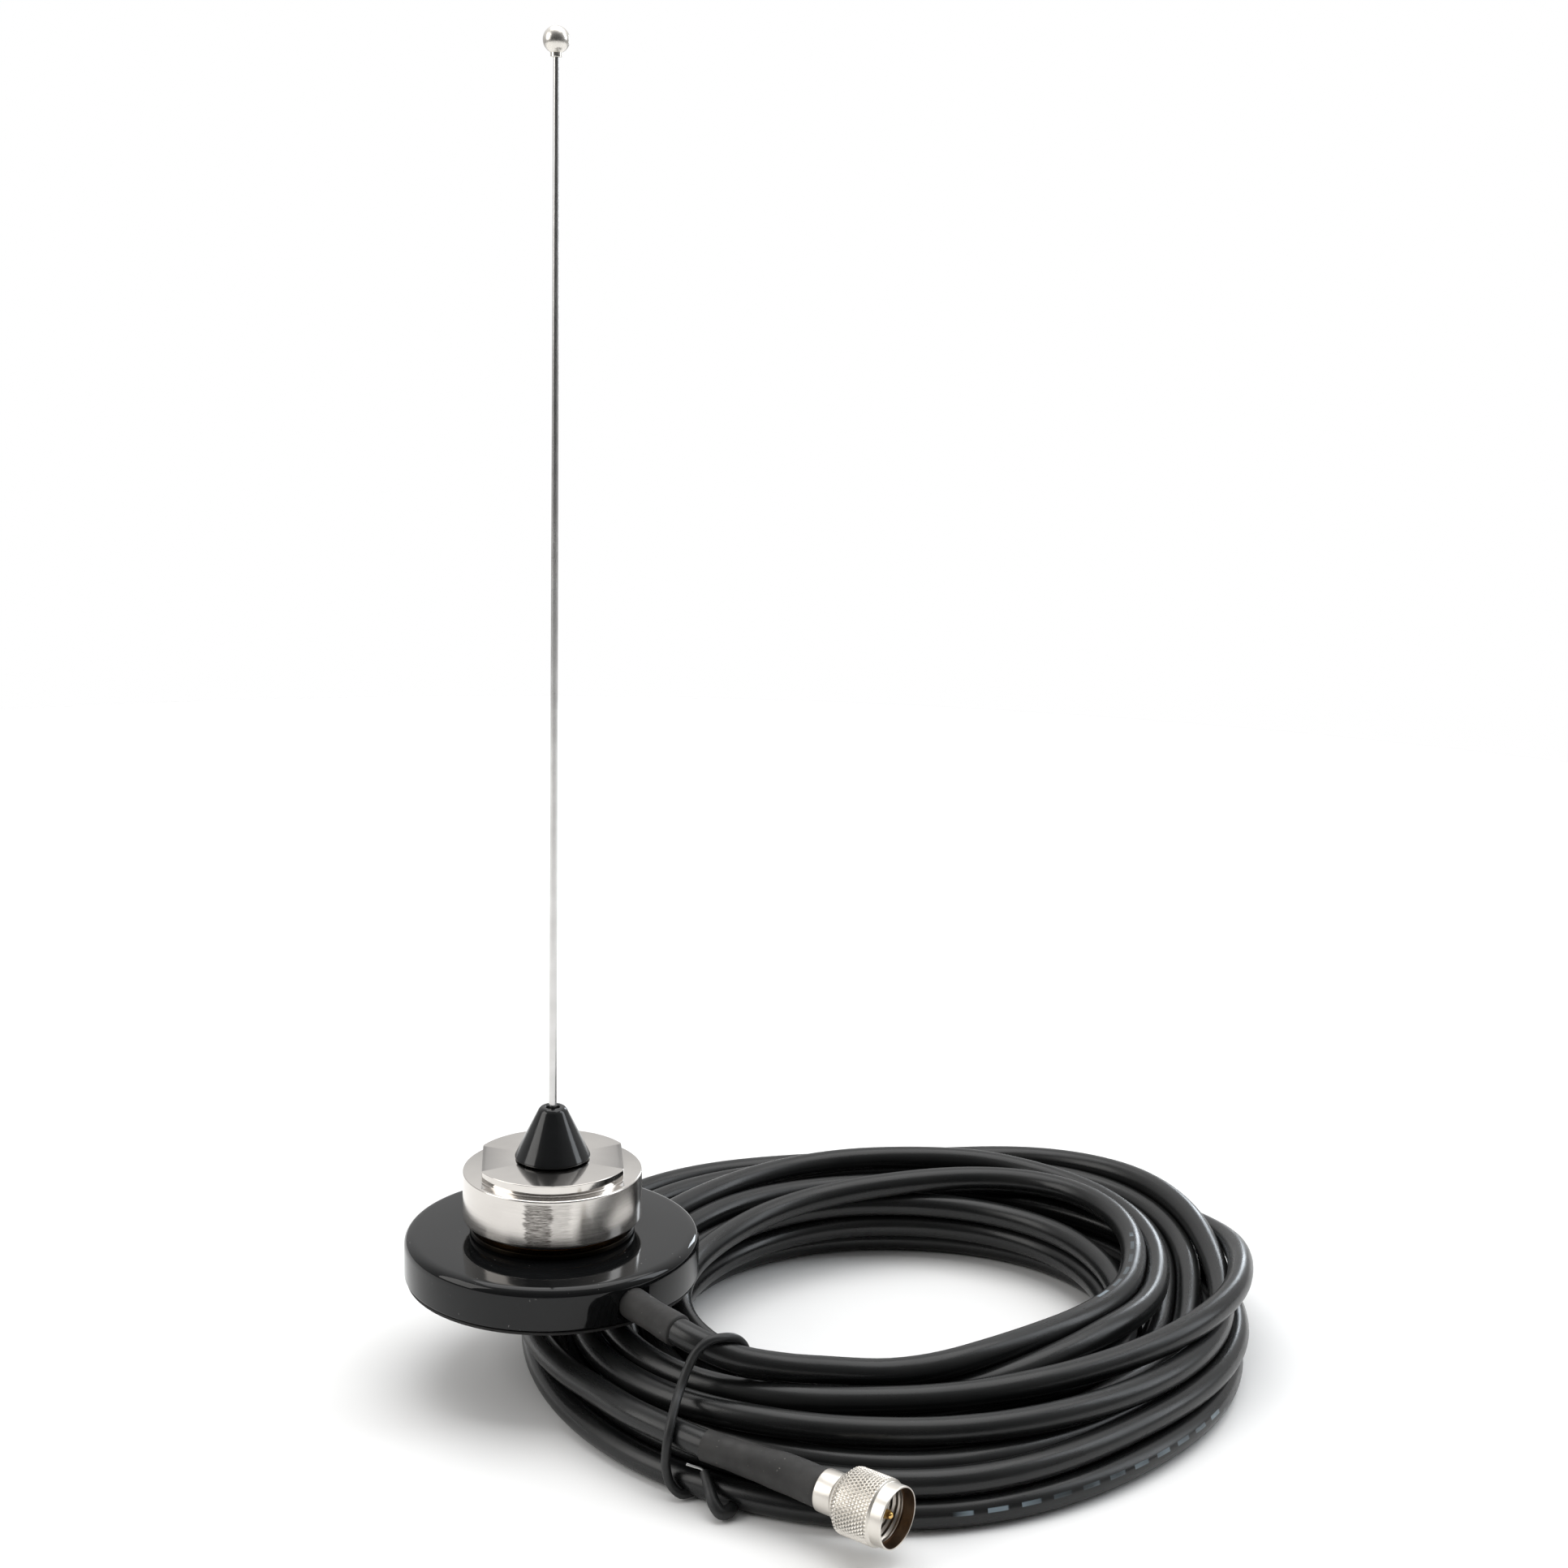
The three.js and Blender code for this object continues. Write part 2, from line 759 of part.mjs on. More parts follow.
const ferruleFront = nutBack - GAP;
const ferruleBack = ferruleFront - FERRULE_LENGTH;
const ferruleBoreR = PLUG_BODY_R + 0.15;
piece(
  "crimp_ferrule",
  plugTurned(
    [
      [ferruleBoreR, ferruleBack],
      [FERRULE_R - 0.2, ferruleBack],
      [FERRULE_R, ferruleBack + 0.2],
      [FERRULE_R, ferruleFront - 0.2],
      [FERRULE_R - 0.2, ferruleFront],
      [ferruleBoreR, ferruleFront],
    ],
    MEDIUM_SIDES,
  ),
  nickel,
  plug,
);

plug.updateMatrixWorld(true);

// A point on the connector's axis, as a place in the part's own frame.
function onPlugAxis(x) {
  return plug.localToWorld(new THREE.Vector3(x, 0, 0));
}

// The shrink sleeve covers the end of the cable and bends towards the coil.
const sleeveFront = onPlugAxis(ferruleBack - GAP);
const sleeveKnee = onPlugAxis(ferruleBack - 5);
const sleeveBack = new THREE.Vector3(31.1, -49.2, 10);
piece(
  "plug_sleeve",
  tube(
    [sleeveBack, new THREE.Vector3(38.3, -52.8, 9.5), sleeveKnee, sleeveFront],
    PLUG_SLEEVE_R,
    CABLE_SIDES,
    8,
  ),
  blackMatte,
);

// Between the coil's side and the sleeve the cable lies on the coil's outer wall.
piece(
  "cable_tail",
  tube(
    [
      new THREE.Vector3(19.6, -42.2, 10),
      new THREE.Vector3(25.5, -46.4, 10),
      sleeveBack.clone().add(new THREE.Vector3(-0.35, -0.15, 0)),
    ],
    JACKET_R,
    CABLE_SIDES,
    6,
  ),
  jacket,
);

// ---------------------------------------------------------------- the twist tie

// The tie goes up the inside of the coil, over its top and the cable's tail, and down the outside.
const tieFloor = TIE_R + 0.1; // height of its middle where it lies on the ground
const tieLoop = [
  [39.2, -20.5, tieFloor],
  [39.2, -20.5, COIL_HEIGHT / 2],
  [39.1, -20.6, COIL_HEIGHT + 0.6],
  [37.5, -23, COIL_HEIGHT + 1.8],
  [33.4, -32.2, COIL_HEIGHT + 1.5],
  [30.4, -39.8, COIL_HEIGHT],
  [26.6, -48.2, 14.8],
  [25.4, -52.5, 10.4],
  [25.7, -51.9, 5.6],
  [27.4, -50.3, tieFloor],
].map((point) => new THREE.Vector3(...point));
piece("twist_tie", tube(tieLoop, TIE_R, 8, 30), blackRubber);

// The tie's other end comes out from under the coil, turns up, and shows its wire.
const endTop = new THREE.Vector3(31, -50.4, 5.9);
piece(
  "twist_tie_end",
  tube(
    [
      new THREE.Vector3(35.2, -55.4, tieFloor),
      new THREE.Vector3(34, -54.6, tieFloor + 0.5),
      endTop,
    ],
    TIE_R,
    8,
    8,
  ),
  blackRubber,
);
piece(
  "tie_wire_tip",
  tube(
    [
      endTop.clone().add(new THREE.Vector3(-0.5, 0.1, 0.6)),
      endTop.clone().add(new THREE.Vector3(-3, 0.6, 1.2)),
    ],
    WIRE_R,
    6,
    2,
  ),
  steel,
);

export default antenna;
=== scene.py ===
"""The looks of a magnet-mount whip antenna with a coiled coax lead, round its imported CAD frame.

Blender works in metres. The outlines and places below are in millimetres and are scaled by MM.
"""

import json
from math import asin, cos, pi, radians, sin, tau

import bmesh
import bpy
import numpy as np
from mathutils import Matrix, Vector


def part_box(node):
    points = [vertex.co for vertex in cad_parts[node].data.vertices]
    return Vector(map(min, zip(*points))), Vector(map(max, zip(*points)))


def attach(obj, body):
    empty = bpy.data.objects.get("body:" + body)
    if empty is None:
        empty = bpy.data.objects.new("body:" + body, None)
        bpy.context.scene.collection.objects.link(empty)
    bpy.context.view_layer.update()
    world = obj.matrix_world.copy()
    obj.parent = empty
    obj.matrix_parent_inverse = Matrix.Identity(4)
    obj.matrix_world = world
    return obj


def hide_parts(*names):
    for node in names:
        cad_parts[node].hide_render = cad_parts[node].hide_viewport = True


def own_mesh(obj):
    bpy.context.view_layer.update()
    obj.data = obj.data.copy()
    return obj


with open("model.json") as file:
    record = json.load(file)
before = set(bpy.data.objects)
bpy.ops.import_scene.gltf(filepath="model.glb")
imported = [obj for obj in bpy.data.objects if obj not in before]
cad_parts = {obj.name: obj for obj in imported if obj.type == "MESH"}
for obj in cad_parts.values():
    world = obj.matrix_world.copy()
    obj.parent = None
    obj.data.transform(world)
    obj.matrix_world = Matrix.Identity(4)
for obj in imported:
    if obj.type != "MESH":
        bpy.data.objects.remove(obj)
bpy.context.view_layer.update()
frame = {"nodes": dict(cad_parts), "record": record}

MM = 0.001  # metres
Z_AXIS = Vector((0, 0, 1))


def box(node):
    """The lowest and highest corners of a CAD node, in millimetres."""
    low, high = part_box(node)
    return Vector(low) / MM, Vector(high) / MM


def add_object(name, data):
    made = bpy.data.objects.new(name, data)
    bpy.context.collection.objects.link(made)
    return made


# --- camera, floor and lights

CAMERA_PLACE = (41.5, -401.0, 198.1)
CAMERA_PITCH = 0.2072  # radians below the horizon
CAMERA_ROLL = 0.02464
SENSOR_WIDTH = 36.0
CAMERA_LENS = 52.17
FLOOR_R = 0.75  # metres
FLOOR_GAP = 0.0002  # metres, so that the floor and the cable have no face in common
LIT_POINT = (0.05, 0.0, 0.03)  # metres, where the lights are aimed


def make_camera():
    data = bpy.data.cameras.new("camera")
    data.sensor_width = SENSOR_WIDTH
    data.lens = CAMERA_LENS
    data.clip_start = 0.01
    data.clip_end = 20.0
    camera = add_object("camera", data)
    tilt = Matrix.Rotation(pi / 2 - CAMERA_PITCH, 4, "X")
    roll = Matrix.Rotation(CAMERA_ROLL, 4, "Z")
    camera.matrix_world = Matrix.Translation(Vector(CAMERA_PLACE) * MM) @ tilt @ roll
    bpy.context.scene.camera = camera


def make_floor():
    sides = 96
    turns = [tau * k / sides for k in range(sides)]
    rim = [(FLOOR_R * cos(turn), FLOOR_R * sin(turn), 0) for turn in turns]
    mesh = bpy.data.meshes.new("floor")
    mesh.from_pydata(rim, [], [tuple(range(sides))])
    floor = add_object("floor", mesh)
    floor.location = (0, 0, -FLOOR_GAP)
    material, bsdf, place = shader("floor")
    tones = ramp(noise(place, 30, detail=2), (0.9, 0.9, 0.895), (0.92, 0.92, 0.915))
    fill(bsdf, {"Base Color": tones, "Roughness": 0.9, "Specular IOR Level": 0.1})
    mesh.materials.append(material)


def add_light(name, place, size, energy, color=(1, 1, 1)):
    data = bpy.data.lights.new(name, "AREA")
    data.shape = "RECTANGLE"
    data.size, data.size_y = size
    data.energy = energy
    data.color = color
    light = add_object(name, data)
    light.location = place
    direction = Vector(LIT_POINT) - Vector(place)
    light.rotation_euler = direction.to_track_quat("-Z", "Y").to_euler()
    light.visible_camera = False


def make_lights():
    add_light("overhead", (0.1, 0.2, 1.1), (1.2, 0.9), 7)
    add_light("left_softbox", (-1.0, -0.35, 0.6), (0.7, 0.9), 5.5, (1.0, 0.985, 0.96))
    add_light("right_softbox", (1.1, 0.1, 0.7), (0.4, 0.9), 4, (0.9, 0.95, 1.0))
    add_light("back_window", (0.5, 0.95, 0.34), (0.16, 0.34), 1.5, (0.86, 0.93, 1.0))
    world = bpy.data.worlds.new("studio")
    world.use_nodes = True
    tree = world.node_tree
    tree.nodes.clear()
    # The room is bright above and behind, and dimmer on the near side. The plain backdrop is white.
    way = node(tree, "TexCoord").outputs["Generated"]
    _, y, z = split(way)
    depth = spread(y, (-0.8, 0.6), (0.1, 0.72))
    height = spread(z, (0.0, 0.9), (0.7, 1.7))
    room = product(depth, height)
    seen = node(tree, "LightPath").outputs["Is Camera Ray"]
    strength = after("Mix", {0: seen, 2: room, 3: 1.0}, data_type="FLOAT").outputs[0]
    background = after("Background", {"Color": (1, 1, 1, 1), "Strength": strength})
    output = node(tree, "OutputWorld")
    tree.links.new(background.outputs[0], output.inputs["Surface"])
    bpy.context.scene.world = world
    bpy.context.scene.view_settings.view_transform = "Standard"


# --- material helpers


NOISE_SPAN = (0.3, 0.7)  # where nearly all of a noise's values lie
RISING = (0.0, 1.0)
FALLING = (1.0, 0.0)


def fill(made, inputs):
    """Gives a node its inputs. Each is a value, or another node's output socket to link."""
    for name, value in inputs.items():
        if isinstance(value, bpy.types.NodeSocket):
            made.id_data.links.new(value, made.inputs[name])
        else:
            made.inputs[name].default_value = value


def node(tree, kind, **settings):
    made = tree.nodes.new("ShaderNode" + kind)
    for name, value in settings.items():
        setattr(made, name, value)
    return made


def after(kind, inputs, **settings):
    """A node in the tree that its linked inputs come from."""
    trees = [value.id_data for value in inputs.values() if isinstance(value, bpy.types.NodeSocket)]
    made = node(trees[0], kind, **settings)
    fill(made, inputs)
    return made


def shader(name):
    """A new material, its shader, and the place on the piece in metres."""
    material = bpy.data.materials.new(name)
    material.use_nodes = True
    tree = material.node_tree
    tree.nodes.clear()
    output = node(tree, "OutputMaterial")
    bsdf = node(tree, "BsdfPrincipled")
    tree.links.new(bsdf.outputs["BSDF"], output.inputs["Surface"])
    place = node(tree, "TexCoord").outputs["Object"]
    return material, bsdf, place


def along_cable(place):
    """UVs, in metres round a tube and along it."""
    return place.node.outputs["UV"]


def split(vector):
    return after("SeparateXYZ", {"Vector": vector}).outputs


def noise(place, scale, detail=3, stretch=(1, 1, 1), rough=0.5):
    mapped = after("Mapping", {"Vector": place, "Scale": stretch}).outputs[0]
    inputs = {"Vector": mapped, "Scale": scale, "Detail": detail, "Roughness": rough}
    return after("TexNoise", inputs).outputs["Fac"]


def ramp(value, low, high):
    """A colour that goes from low to high over the span of a noise."""
    made = after("ValToRGB", {"Fac": value})
    for stop, place, color in zip(made.color_ramp.elements, NOISE_SPAN, (low, high)):
        stop.position = place
        stop.color = (*color, 1)
    return made.outputs["Color"]


def mix(share, color, over):
    """A colour with a share of another one over it."""
    inputs = {0: share, 6: color, 7: (*over, 1)}
    return after("Mix", inputs, data_type="RGBA").outputs[2]


def spread(value, source, target=RISING):
    """The value moved from one range to another, and kept inside it."""
    inputs = {"Value": value, 1: source[0], 2: source[1], 3: target[0], 4: target[1]}
    return after("MapRange", inputs).outputs["Result"]


def spread_mm(metres, low, high, target=RISING):
    """The same for a distance, from one in millimetres to another."""
    return spread(metres, (low * MM, high * MM), target)


def math_of(operation, first, second=0.0):
    return after("Math", {0: first, 1: second}, operation=operation).outputs[0]


def product(first, *others):
    for other in others:
        first = math_of("MULTIPLY", first, other)
    return first


def vector_of(operation, first, second=None):
    inputs = {0: first} if second is None else {0: first, 1: second}
    return after("VectorMath", inputs, operation=operation).outputs


def bump(height, depth, strength=1.0, below=None):
    """A bump of a depth in millimetres, laid on another one."""
    inputs = {"Height": height, "Distance": depth * MM, "Strength": strength}
    if below is not None:
        inputs["Normal"] = below
    return after("Bump", inputs).outputs["Normal"]


# --- materials

BASE_LOW, BASE_HIGH = box("base_cover")
BASE_TOP = BASE_HIGH.z
COLLAR_FLANGE_TOP = BASE_TOP + 1.3
NUT_SHOULDER = BASE_TOP + 12.1
SCUFF_AND_REFLECTION_X = (-3.1, 1.2, 4.4)  # where the nut's patch of scuffs and painted dark reflection starts, thins out and ends
SCUFF_AND_REFLECTION_EDGE = 0.5
SCUFF_AND_REFLECTION_FRONT = -12.0  # the patch is on the wall in front of this
PLUG_FACE = Vector((62.7, -68.8, 8.5))
PLUG_TURN = radians(-36)
PLUG_WAY = Vector((cos(PLUG_TURN), sin(PLUG_TURN), 0))
COUNTERBORE_R = 4.9
COUNTERBORE_DEPTH = 2.1
BORE_END = -8.6  # along the plug, from its face
DASHES_PER_METRE = 165.0

DUST_COLOR = (0.2, 0.2, 0.19)
# the dark tone of the nut's scuffs, which also paints in a dark reflection
SCUFF_AND_REFLECTION_COLOR = (0.05, 0.044, 0.038)
# near-black, for the collar below its flange top
NEAR_BLACK_FOOT_COLOR = (0.012, 0.009, 0.006)
STAIN_COLOR = (0.12, 0.066, 0.03)
HAZE_COLOR = (0.03, 0.0285, 0.0265)
DASH_COLOR = (0.24, 0.3, 0.34)
LINT_COLOR = (0.22, 0.2, 0.18)


def finish(name, colors, roughness, tone, grain, depth, stretch=(1, 1, 1), metallic=0.0,
           specular=0.5):
    """A plain surface: two close tones, a roughness that varies, and a fine grain."""
    material, bsdf, place = shader(name)
    tones = noise(place, tone, detail=4)
    smears = noise(place, tone * 2.3, detail=5, stretch=stretch)
    grains = noise(place, grain, stretch=stretch)
    fill(bsdf, {
        "Base Color": ramp(tones, *colors),
        "Roughness": spread(smears, NOISE_SPAN, roughness),
        "Normal": bump(grains, depth),
        "Metallic": metallic,
        "Specular IOR Level": specular,
    })
    return material


def enamel(name):
    """Glossy black paint: a faint orange peel, soft smears, and a few specks of dust."""
    material, bsdf, place = shader(name)
    tones = noise(place, 60, detail=4)
    base = ramp(tones, (0.0045, 0.0048, 0.005), (0.0075, 0.0078, 0.0082))
    dust = spread(noise(place, 1500, detail=1), (0.76, 0.8), (0.0, 0.5))
    smears = noise(place, 160, detail=6)
    peel = noise(place, 420, detail=2)
    fill(bsdf, {
        "Base Color": mix(dust, base, DUST_COLOR),
        "Roughness": spread(smears, (0.35, 0.7), (0.035, 0.09)),
        "Normal": bump(peel, 0.012, 0.3),
        "Specular IOR Level": 0.3,
    })
    return material


def nickel(name, colors, roughness, streaks=(1, 1, 1), depth=0.005):
    """Nickel over turned metal. Its sockets are given back too, for what a piece adds."""
    material, bsdf, place = shader(name)
    color = ramp(noise(place, 90), *colors)
    lines = noise(place, 75, detail=6, stretch=streaks, rough=0.65)
    gloss = spread(lines, (0.35, 0.7), roughness)
    relief = bump(lines, depth)
    fill(bsdf, {"Base Color": color, "Roughness": gloss, "Normal": relief, "Metallic": 1.0})
    return material, bsdf, place, color, gloss, relief


def scuffed_nickel_with_painted_reflection(name):
    """The antenna nut: brushed round its wall, with a scuffed patch on the front whose dark tone is
    also a painted reflection.
    """
    material, bsdf, place, color, gloss, relief = nickel(
        name, ((0.62, 0.59, 0.56), (0.71, 0.68, 0.645)), (0.17, 0.24), streaks=(1, 1, 40),
        depth=0.0008)
    # The turning marks run round the axis, so highlights spread across them.
    around = node(bsdf.id_data, "Tangent", direction_type="RADIAL", axis="Z")
    x, y, z = split(place)
    # The flange and the step are glossier than the wall.
    polish = spread_mm(z, NUT_SHOULDER + 0.1, NUT_SHOULDER + 0.3, (1.0, 0.45))
    ragged = spread(noise(place, 900, detail=4, stretch=(0.3, 0.3, 3)),
                    NOISE_SPAN, (-SCUFF_AND_REFLECTION_EDGE * MM, SCUFF_AND_REFLECTION_EDGE * MM))
    across = math_of("ADD", x, ragged)
    left, middle, right = SCUFF_AND_REFLECTION_X
    patch = product(
        spread_mm(across, left - SCUFF_AND_REFLECTION_EDGE, left),
        spread_mm(across, right, right + 2 * SCUFF_AND_REFLECTION_EDGE, FALLING),
        spread_mm(across, middle, middle + SCUFF_AND_REFLECTION_EDGE, (1.0, 0.4)),
        spread_mm(y, SCUFF_AND_REFLECTION_FRONT, SCUFF_AND_REFLECTION_FRONT - 1),
        spread_mm(z, NUT_SHOULDER - 0.5, NUT_SHOULDER - 0.8),
    )
    scratches = noise(place, 420, detail=8, stretch=(1, 1, 14), rough=0.72)
    # The patch darkens the nut's colour: its scratches, and a painted dark reflection on the front
    # of the wall.
    shade = product(spread(scratches, (0.4, 0.6), (1.0, 0.35)), patch)
    relief = bump(product(scratches, patch), 0.014, 0.7, relief)
    pits = after("TexVoronoi", {"Vector": place, "Scale": 300.0})
    pit = spread(pits.outputs["Distance"], (0.05, 0.16), FALLING)
    relief = bump(product(pit, patch), -0.1, 0.8, relief)
    fill(bsdf, {
        "Base Color": mix(shade, color, SCUFF_AND_REFLECTION_COLOR),
        "Roughness": product(gloss, polish),
        "Normal": relief,
        "Tangent": around.outputs["Tangent"],
        "Anisotropic": 0.6,
        "Anisotropic Rotation": 0.25,
    })
    return material


def painted_shade_brass(name):
    """The mount's collar: brass thread darkened as painted shade, over a near-black foot below the
    flange top.
    """
    material, bsdf, place = shader(name)
    tones = noise(place, 240, detail=4)
    # The thread's brass is darkened to paint in the shade of the gap under the nut.
    thread = ramp(tones, (0.1, 0.048, 0.014), (0.2, 0.1, 0.032))
    foot = spread_mm(split(place)["Z"], COLLAR_FLANGE_TOP + 0.2, COLLAR_FLANGE_TOP)
    rubs = noise(place, 550, detail=5, stretch=(1, 1, 12))
    fill(bsdf, {
        "Base Color": mix(foot, thread, NEAR_BLACK_FOOT_COLOR),
        "Roughness": spread(rubs, NOISE_SPAN, (0.25, 0.42)),
        "Normal": bump(rubs, 0.012),
        "Metallic": 1.0,
    })
    return material


def coupling_nickel(name):
    """The coupling nut: bright outside, and dark and stained in its bore."""
    material, bsdf, place, color, _, _ = nickel(
        name, ((0.66, 0.625, 0.575), (0.76, 0.725, 0.665)), (0.3, 0.42))
    inward = vector_of("SUBTRACT", place, tuple(PLUG_FACE * MM))[0]
    swept = vector_of("CROSS_PRODUCT", inward, tuple(PLUG_WAY))[0]
    from_axis = vector_of("LENGTH", swept)["Value"]
    along = vector_of("DOT_PRODUCT", inward, tuple(PLUG_WAY))["Value"]
    stain = product(
        spread_mm(from_axis, COUNTERBORE_R + 0.08, COUNTERBORE_R),
        spread_mm(along, -COUNTERBORE_DEPTH - 0.05, -COUNTERBORE_DEPTH, (0.35, 0.92)),
        spread_mm(along, BORE_END, BORE_END + 0.3),
    )
    fill(bsdf, {"Base Color": mix(stain, color, STAIN_COLOR)})
    return material


def cable_finish(name):
    """Satin black PVC. The marks attribute places a line of faded dashes on a few stretches."""
    material, bsdf, place = shader(name)
    along = along_cable(place)
    tones = noise(place, 120, detail=4)
    base = ramp(tones, (0.0055, 0.006, 0.0062), (0.0095, 0.0098, 0.0098))
    # a thin haze of handling marks, drawn out along the cable
    haze = noise(along, 55, detail=6, stretch=(12, 1, 1), rough=0.6)
    base = mix(spread(haze, (0.5, 0.85), (0.0, 0.3)), base, HAZE_COLOR)
    # dashes: a band round the marks' line, broken up along the cable
    marks = node(bsdf.id_data, "Attribute", attribute_name="marks").outputs["Vector"]
    off_line, marked, _ = split(marks)
    beat = math_of("FRACT", product(split(along)["Y"], DASHES_PER_METRE))
    gaps = noise(along, 30, detail=2, stretch=(0, 1, 0))
    wear = noise(along, 45, stretch=(0, 1, 0))
    mark = product(
        spread(math_of("ABSOLUTE", off_line), (0.45, 0.3)),
        spread(beat, (0.62, 0.56)),
        spread(gaps, (0.44, 0.5)),
        spread(wear, (0.38, 0.6), (0.15, 0.7)),
        marked,
    )
    rubs = noise(along, 70, detail=6, stretch=(10, 1, 1))
    relief = bump(noise(along, 260, detail=2), 0.06, 0.5)
    relief = bump(noise(place, 5200), 0.012, 0.6, relief)
    fill(bsdf, {
        "Base Color": mix(mark, base, DASH_COLOR),
        "Roughness": spread(rubs, NOISE_SPAN, (0.22, 0.36)),
        "Normal": relief,
        "Specular IOR Level": 0.38,
    })
    return material


def shrink_finish(name):
    """Heat-shrink sleeve: matte, a little warmer than the cable, with faint shrink wrinkles."""
    material, bsdf, place = shader(name)
    tones = noise(place, 140, detail=5)
    color = ramp(tones, (0.017, 0.0165, 0.016), (0.029, 0.0275, 0.026))
    lint = spread(noise(place, 1400, detail=1), (0.74, 0.8), (0.0, 0.5))
    rubs = noise(place, 500, detail=5)
    wrinkles = noise(along_cable(place), 190, detail=4, stretch=(1, 2.5, 1))
    relief = bump(wrinkles, 0.12, 0.5)
    fill(bsdf, {
        "Base Color": mix(lint, color, LINT_COLOR),
        "Roughness": spread(rubs, NOISE_SPAN, (0.52, 0.68)),
        "Normal": bump(noise(place, 3600), 0.02, 0.6, relief),
        "Specular IOR Level": 0.4,
    })
    return material


METAL = {"metallic": 1.0}

# Plain surfaces: the two tones, the range of roughness, the scales of the tones and of the
# grain, the grain's depth in mm, and what differs from a plain one.
FINISHES = {
    "black_gloss_plastic": (((0.006, 0.0065, 0.007), (0.01, 0.0105, 0.011)), (0.08, 0.17),
                            200, 900, 0.006, {"specular": 0.42}),
    "black_rubber": (((0.012, 0.012, 0.012), (0.022, 0.021, 0.02)), (0.62, 0.8),
                     260, 3000, 0.04, {"specular": 0.35}),
    "tie_coat": (((0.008, 0.0085, 0.009), (0.014, 0.0145, 0.0145)), (0.36, 0.5),
                 300, 2600, 0.03, {"specular": 0.4}),
    "whip_steel": (((0.56, 0.55, 0.54), (0.68, 0.67, 0.66)), (0.16, 0.3),
                   200, 1500, 0.01, {**METAL, "stretch": (1, 1, 0.05)}),
    "steel": (((0.42, 0.42, 0.41), (0.55, 0.55, 0.54)), (0.28, 0.45), 220, 2200, 0.015, METAL),
    "brass": (((0.46, 0.27, 0.1), (0.58, 0.36, 0.15)), (0.2, 0.38),
              240, 1400, 0.015, {**METAL, "stretch": (1, 1, 12)}),
    "gold_plate": (((0.66, 0.42, 0.13), (0.78, 0.52, 0.2)), (0.14, 0.26),
                   500, 2600, 0.006, METAL),
    "copper": (((0.5, 0.23, 0.12), (0.66, 0.33, 0.19)), (0.26, 0.42), 500, 2400, 0.02, METAL),
    "ferrite": (((0.035, 0.032, 0.03), (0.065, 0.058, 0.052)), (0.6, 0.85),
                300, 2600, 0.05, {}),
    "white_insulator": (((0.7, 0.68, 0.62), (0.8, 0.78, 0.72)), (0.3, 0.5),
                        300, 2200, 0.01, {}),
}

MATERIALS = {
    "black_enamel": enamel("black_enamel"),
    "shrink_sleeve": shrink_finish("shrink_sleeve"),
    "cable_jacket": cable_finish("cable_jacket"),
    "nut_nickel": scuffed_nickel_with_painted_reflection("nut_nickel"),
    "coupling_nickel": coupling_nickel("coupling_nickel"),
    "bright_nickel": nickel(
        "bright_nickel", ((0.68, 0.65, 0.605), (0.77, 0.74, 0.69)), (0.2, 0.32))[0],
    "painted_shade_brass": painted_shade_brass("painted_shade_brass"),
}
for slot, (*plain, others) in FINISHES.items():
    MATERIALS[slot] = finish(slot, *plain, **others)


# --- mesh helpers


def link_mesh(name, vertices, faces, uvs, sharp=35):
    """A smooth-shaded object, with edges over the sharp angle kept crisp."""
    mesh = bpy.data.meshes.new(name)
    mesh.from_pydata([tuple(v) for v in vertices], [], faces)
    layer = mesh.uv_layers.new(name="UVMap")
    layer.data.foreach_set("uv", [value for face in uvs for pair in face for value in pair])
    edit = bmesh.new()
    edit.from_mesh(mesh)
    bmesh.ops.recalc_face_normals(edit, faces=edit.faces)
    edit.to_mesh(mesh)
    edit.free()
    mesh.shade_smooth()
    mesh.set_sharp_from_angle(angle=radians(sharp))
    return add_object(name, mesh)


def dress(made, body, slot, *nodes, material=None):
    """Gives a piece its material, which is the slot's unless another is named, and its body, and
    hides the CAD nodes it stands for.
    """
    made.data.materials.clear()
    made.data.materials.append(MATERIALS[material or slot])
    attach(made, body)
    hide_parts(*nodes)
    return made


def rounded(points, steps=5):
    """An outline from corners of (radius, height, rounding), with each corner rounded off."""
    outline = []
    count = len(points)
    for i, point in enumerate(points):
        corner = Vector(point[:2])
        cut = point[2] if len(point) > 2 else 0
        if not cut:
            outline.append(tuple(corner))
            continue
        before = Vector(points[i - 1][:2]) - corner
        after = Vector(points[(i + 1) % count][:2]) - corner
        start = corner + before.normalized() * cut
        end = corner + after.normalized() * cut
        for k in range(steps + 1):
            t = k / steps
            place = start * (1 - t) ** 2 + corner * 2 * t * (1 - t) + end * t**2
            outline.append(tuple(place))
    return outline


def wall(start, end, rows):
    """The places along a straight stretch of an outline, such as the rows of a thread."""
    return [tuple(place) for place in np.linspace(start, end, rows + 1)]


